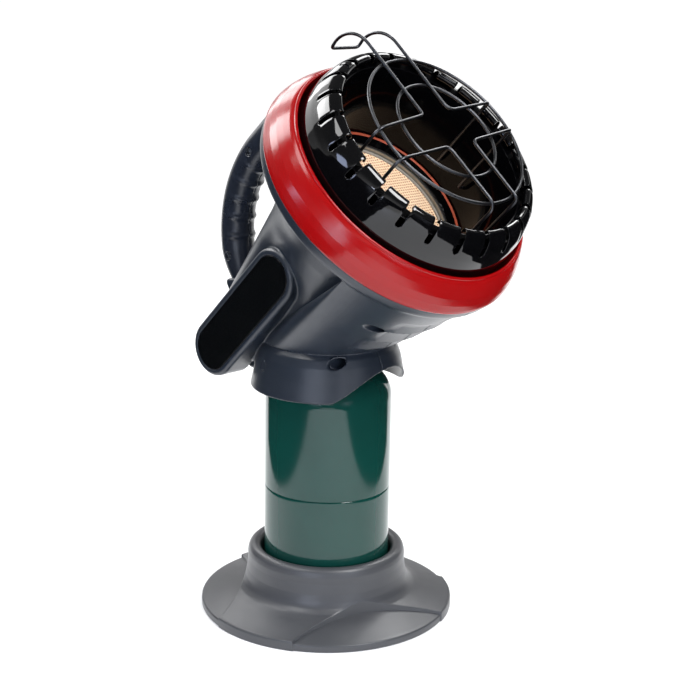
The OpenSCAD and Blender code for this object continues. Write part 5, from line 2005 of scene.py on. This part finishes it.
@dataclass
class Studio:
    """Pale floor, soft lamps, a pale backdrop in the world, and the camera."""

    camera_at: tuple[float, float, float] = (-783.94, -771.65, 494.70)
    azimuth: float = -46.297
    pitch: float = 14.674
    roll: float = 1.005
    focal_px: float = 1475.59
    frame_px: float = 700.0
    sensor: float = 36.0
    view_reach: float = 60.0
    middle: tuple[float, float, float] = (0.0, -0.02, 0.28)
    floor_half: float = 25.0
    floor_near: float = 0.15
    floor_far: float = 0.92
    lift_from: float = 0.3
    lift_to: float = 2.2
    floor_sheen: float = 0.22
    flag_spread: float = 0.33
    flag_near: float = -2.2
    flag_far: float = 0.3
    flag_h: float = 0.45
    sky_low: tuple[float, float] = (0.05, 0.9)
    sky_high: tuple[float, float] = (0.4, 0.12)

    def camera(self) -> None:
        """Sets the camera: its axes are right, up and away from the view, turned by the roll."""
        a, p, r = (math.radians(v) for v in (self.azimuth, self.pitch, self.roll))
        ahead = Vector((-math.sin(a) * math.cos(p), math.cos(a) * math.cos(p), -math.sin(p)))
        right = ahead.cross(Vector((0, 0, 1))).normalized()
        up = right.cross(ahead)
        right, up = math.cos(r) * right + math.sin(r) * up, math.cos(r) * up - math.sin(r) * right
        data = bpy.data.cameras.new("camera")
        data.sensor_width = self.sensor
        data.lens = self.focal_px * self.sensor / self.frame_px
        data.clip_end = self.view_reach
        camera = in_scene("camera", data)
        turn = Matrix((right, up, -ahead)).transposed().to_4x4()
        camera.matrix_world = Matrix.Translation(Vector(self.camera_at) * MM) @ turn
        bpy.context.scene.camera = camera

    def lamp(
        self,
        name: str,
        spot: tuple[float, float, float],
        size: tuple[float, float],
        power: float,
        colour: str = "#ffffff",
    ) -> None:
        """Adds one soft lamp that looks at the heater's middle.

        Args:
            name: Its name.
            spot: Its place in metres from the heater's foot: to the right, away from the camera and up.
            size: Its width and height in metres.
            power: Its power in watts.
            colour: Its colour.
        """
        right, away = self.axes()
        data = bpy.data.lights.new(name, "AREA")
        data.shape = "RECTANGLE"
        data.size, data.size_y = size
        data.energy = power
        data.color = linear(colour)[:3]
        lamp = in_scene(name, data)
        lamp.location = spot[0] * right + spot[1] * away + Vector((0, 0, spot[2]))
        lamp.rotation_euler = (Vector(self.middle) - lamp.location).to_track_quat("-Z", "Y").to_euler()

    def axes(self) -> tuple[Vector, Vector]:
        """Gives the level directions to the view's right and away from the camera."""
        a = math.radians(self.azimuth)
        return Vector((math.cos(a), math.sin(a), 0)), Vector((-math.sin(a), math.cos(a), 0))

    def plane(self, name: str, corners: Sequence, material: bpy.types.Material) -> bpy.types.Object:
        """Makes a flat face of four corners.

        Args:
            name: Its name.
            corners: Its corners in metres.
            material: Its material.

        Returns:
            The face's object.
        """
        mesh = bpy.data.meshes.new(name)
        mesh.from_pydata(corners, [], [(0, 1, 2, 3)])
        mesh.materials.append(material)
        return in_scene(name, mesh)

    def flags(self) -> None:
        """Stands black flags beside the table and in front, seen only by gloss, so that enamel has depth."""
        right, away = self.axes()
        w, near, far = self.flag_spread, self.flag_near, self.flag_far
        spots = ((-w, near, -w, far), (w, near, w, far), (-w, near, w, near))
        material = Finish("black_flag_cloth", "#08080a", 0.9, tint="#050506", specular=0.1).build()
        up = Vector((0, 0, self.flag_h))
        for k, (x0, y0, x1, y1) in enumerate(spots):
            a, b = x0 * right + y0 * away, x1 * right + y1 * away
            flag = self.plane(f"flag_{k}", [a, b, b + up, a + up], material)
            for ray in ("camera", "diffuse", "shadow", "transmission"):
                setattr(flag, f"visible_{ray}", False)

    def world(self) -> None:
        """Sets the world: white to the camera, and to the rest pale at the horizon and darker overhead."""
        world = bpy.data.worlds.new("studio")
        bpy.context.scene.world = world
        tree = empty_tree(world)
        coords = add_node(tree, "ShaderNodeTexCoord")
        height = add_node(tree, "ShaderNodeSeparateXYZ", links={0: coords.outputs["Generated"]})
        (low, pale), (high, dark) = self.sky_low, self.sky_high
        shade = add_node(
            tree,
            "ShaderNodeMapRange",
            {
                "interpolation_type": "SMOOTHSTEP",
                "From Min": low,
                "From Max": high,
                "To Min": pale,
                "To Max": dark,
            },
            {"Value": height.outputs["Z"]},
        )
        path = add_node(tree, "ShaderNodeLightPath")
        both = {0: shade.outputs["Result"], 1: path.outputs["Is Camera Ray"]}
        seen = add_node(tree, "ShaderNodeMath", {"operation": "MAXIMUM"}, both)
        light = add_node(tree, "ShaderNodeBackground", {"Color": (1, 1, 1, 1)}, {"Strength": seen.outputs[0]})
        add_node(tree, "ShaderNodeOutputWorld", links={"Surface": light.outputs["Background"]})

    def floor(self) -> None:
        """Lays the floor: pale, lifted to white for the camera, glass and gloss, so that the shadow stays."""
        material = bpy.data.materials.new("pale_floor")
        tree = empty_tree(material)
        matt = add_node(tree, "ShaderNodeBsdfDiffuse", {"Color": (0.8, 0.8, 0.8, 1)})
        coords = add_node(tree, "ShaderNodeTexCoord")
        reach = add_node(tree, "ShaderNodeVectorMath", {"operation": "LENGTH"}, {0: coords.outputs["Object"]})
        makeup = add_node(
            tree,
            "ShaderNodeMapRange",
            {
                "interpolation_type": "SMOOTHSTEP",
                "From Min": self.lift_from,
                "From Max": self.lift_to,
                "To Min": self.floor_near,
                "To Max": self.floor_far,
            },
            {"Value": reach.outputs["Value"]},
        )
        path = add_node(tree, "ShaderNodeLightPath")
        gloss = path.outputs["Is Glossy Ray"]
        seen = path.outputs["Is Camera Ray"]
        for ray in (gloss, path.outputs["Is Transmission Ray"]):
            seen = add_node(tree, "ShaderNodeMath", {"operation": "MAXIMUM"}, {0: seen, 1: ray}).outputs[0]
        sheen = {"operation": "MULTIPLY", 1: self.floor_sheen}
        lift = add_node(tree, "ShaderNodeMath", sheen, {0: gloss}).outputs[0]
        parts = {0: seen, 1: makeup.outputs["Result"], 2: lift}
        lift = add_node(tree, "ShaderNodeMath", {"operation": "MULTIPLY_ADD"}, parts).outputs[0]
        glow = add_node(tree, "ShaderNodeEmission", {"Color": (1, 1, 1, 1)}, {"Strength": lift})
        both = add_node(tree, "ShaderNodeAddShader", links={0: matt.outputs[0], 1: glow.outputs[0]})
        add_node(tree, "ShaderNodeOutputMaterial", links={"Surface": both.outputs[0]})
        half = self.floor_half
        corners = [(-half, -half, 0), (half, -half, 0), (half, half, 0), (-half, half, 0)]
        self.plane("floor", corners, material)

    def build(self) -> None:
        """Builds the studio and sets the view's colour handling."""
        self.camera()
        self.world()
        self.floor()
        self.flags()
        self.lamp("key_softbox", (-0.62, -0.45, 1.35), (0.45, 0.5), 5.5)
        self.lamp("left_softbox", (-0.888, 0.36, 1.14), (0.5, 0.5), 9)
        self.lamp("left_wide_box", (-1.0, 0.9, 0.99), (1.1, 0.9), 6)
        self.lamp("back_left_box", (-0.43, 1.06, 0.95), (0.5, 0.5), 3)
        self.lamp("back_right_box", (0.5, 0.8, 1.15), (0.5, 0.5), 8)
        self.lamp("right_softbox", (0.9, 0.72, 0.55), (0.6, 0.8), 2)
        self.lamp("mouth_softbox", (0.68, -0.62, 1.28), (0.55, 0.55), 18)
        self.lamp("window_left", (-0.44, -1.2, 0.36), (0.25, 0.25), 5.5, "#dfe9ff")
        self.lamp("window_right", (0.74, -1.1, 0.42), (0.3, 0.25), 6, "#e6eeff")
        self.lamp("window_side", (-0.85, -0.6, 0.62), (0.25, 0.2), 1.4, "#c4d2f5")
        bpy.context.scene.view_settings.view_transform = "Standard"


def main() -> None:
    """Builds the heater and its studio, piece by piece."""
    logging.basicConfig(level=logging.INFO, format="%(name)s: %(message)s")
    cell = FULL_CELL
    Studio().build()
    Stand().build()
    FuelCylinder().build()
    Housing().build(cell)
    Handle().build(cell * HANDLE_SHARE)
    Label().build()
    Front().build()
    Guard().build()
    Burner().build()
    Controls().build()
    Inside().build()


if __name__ == "__main__":
    main()
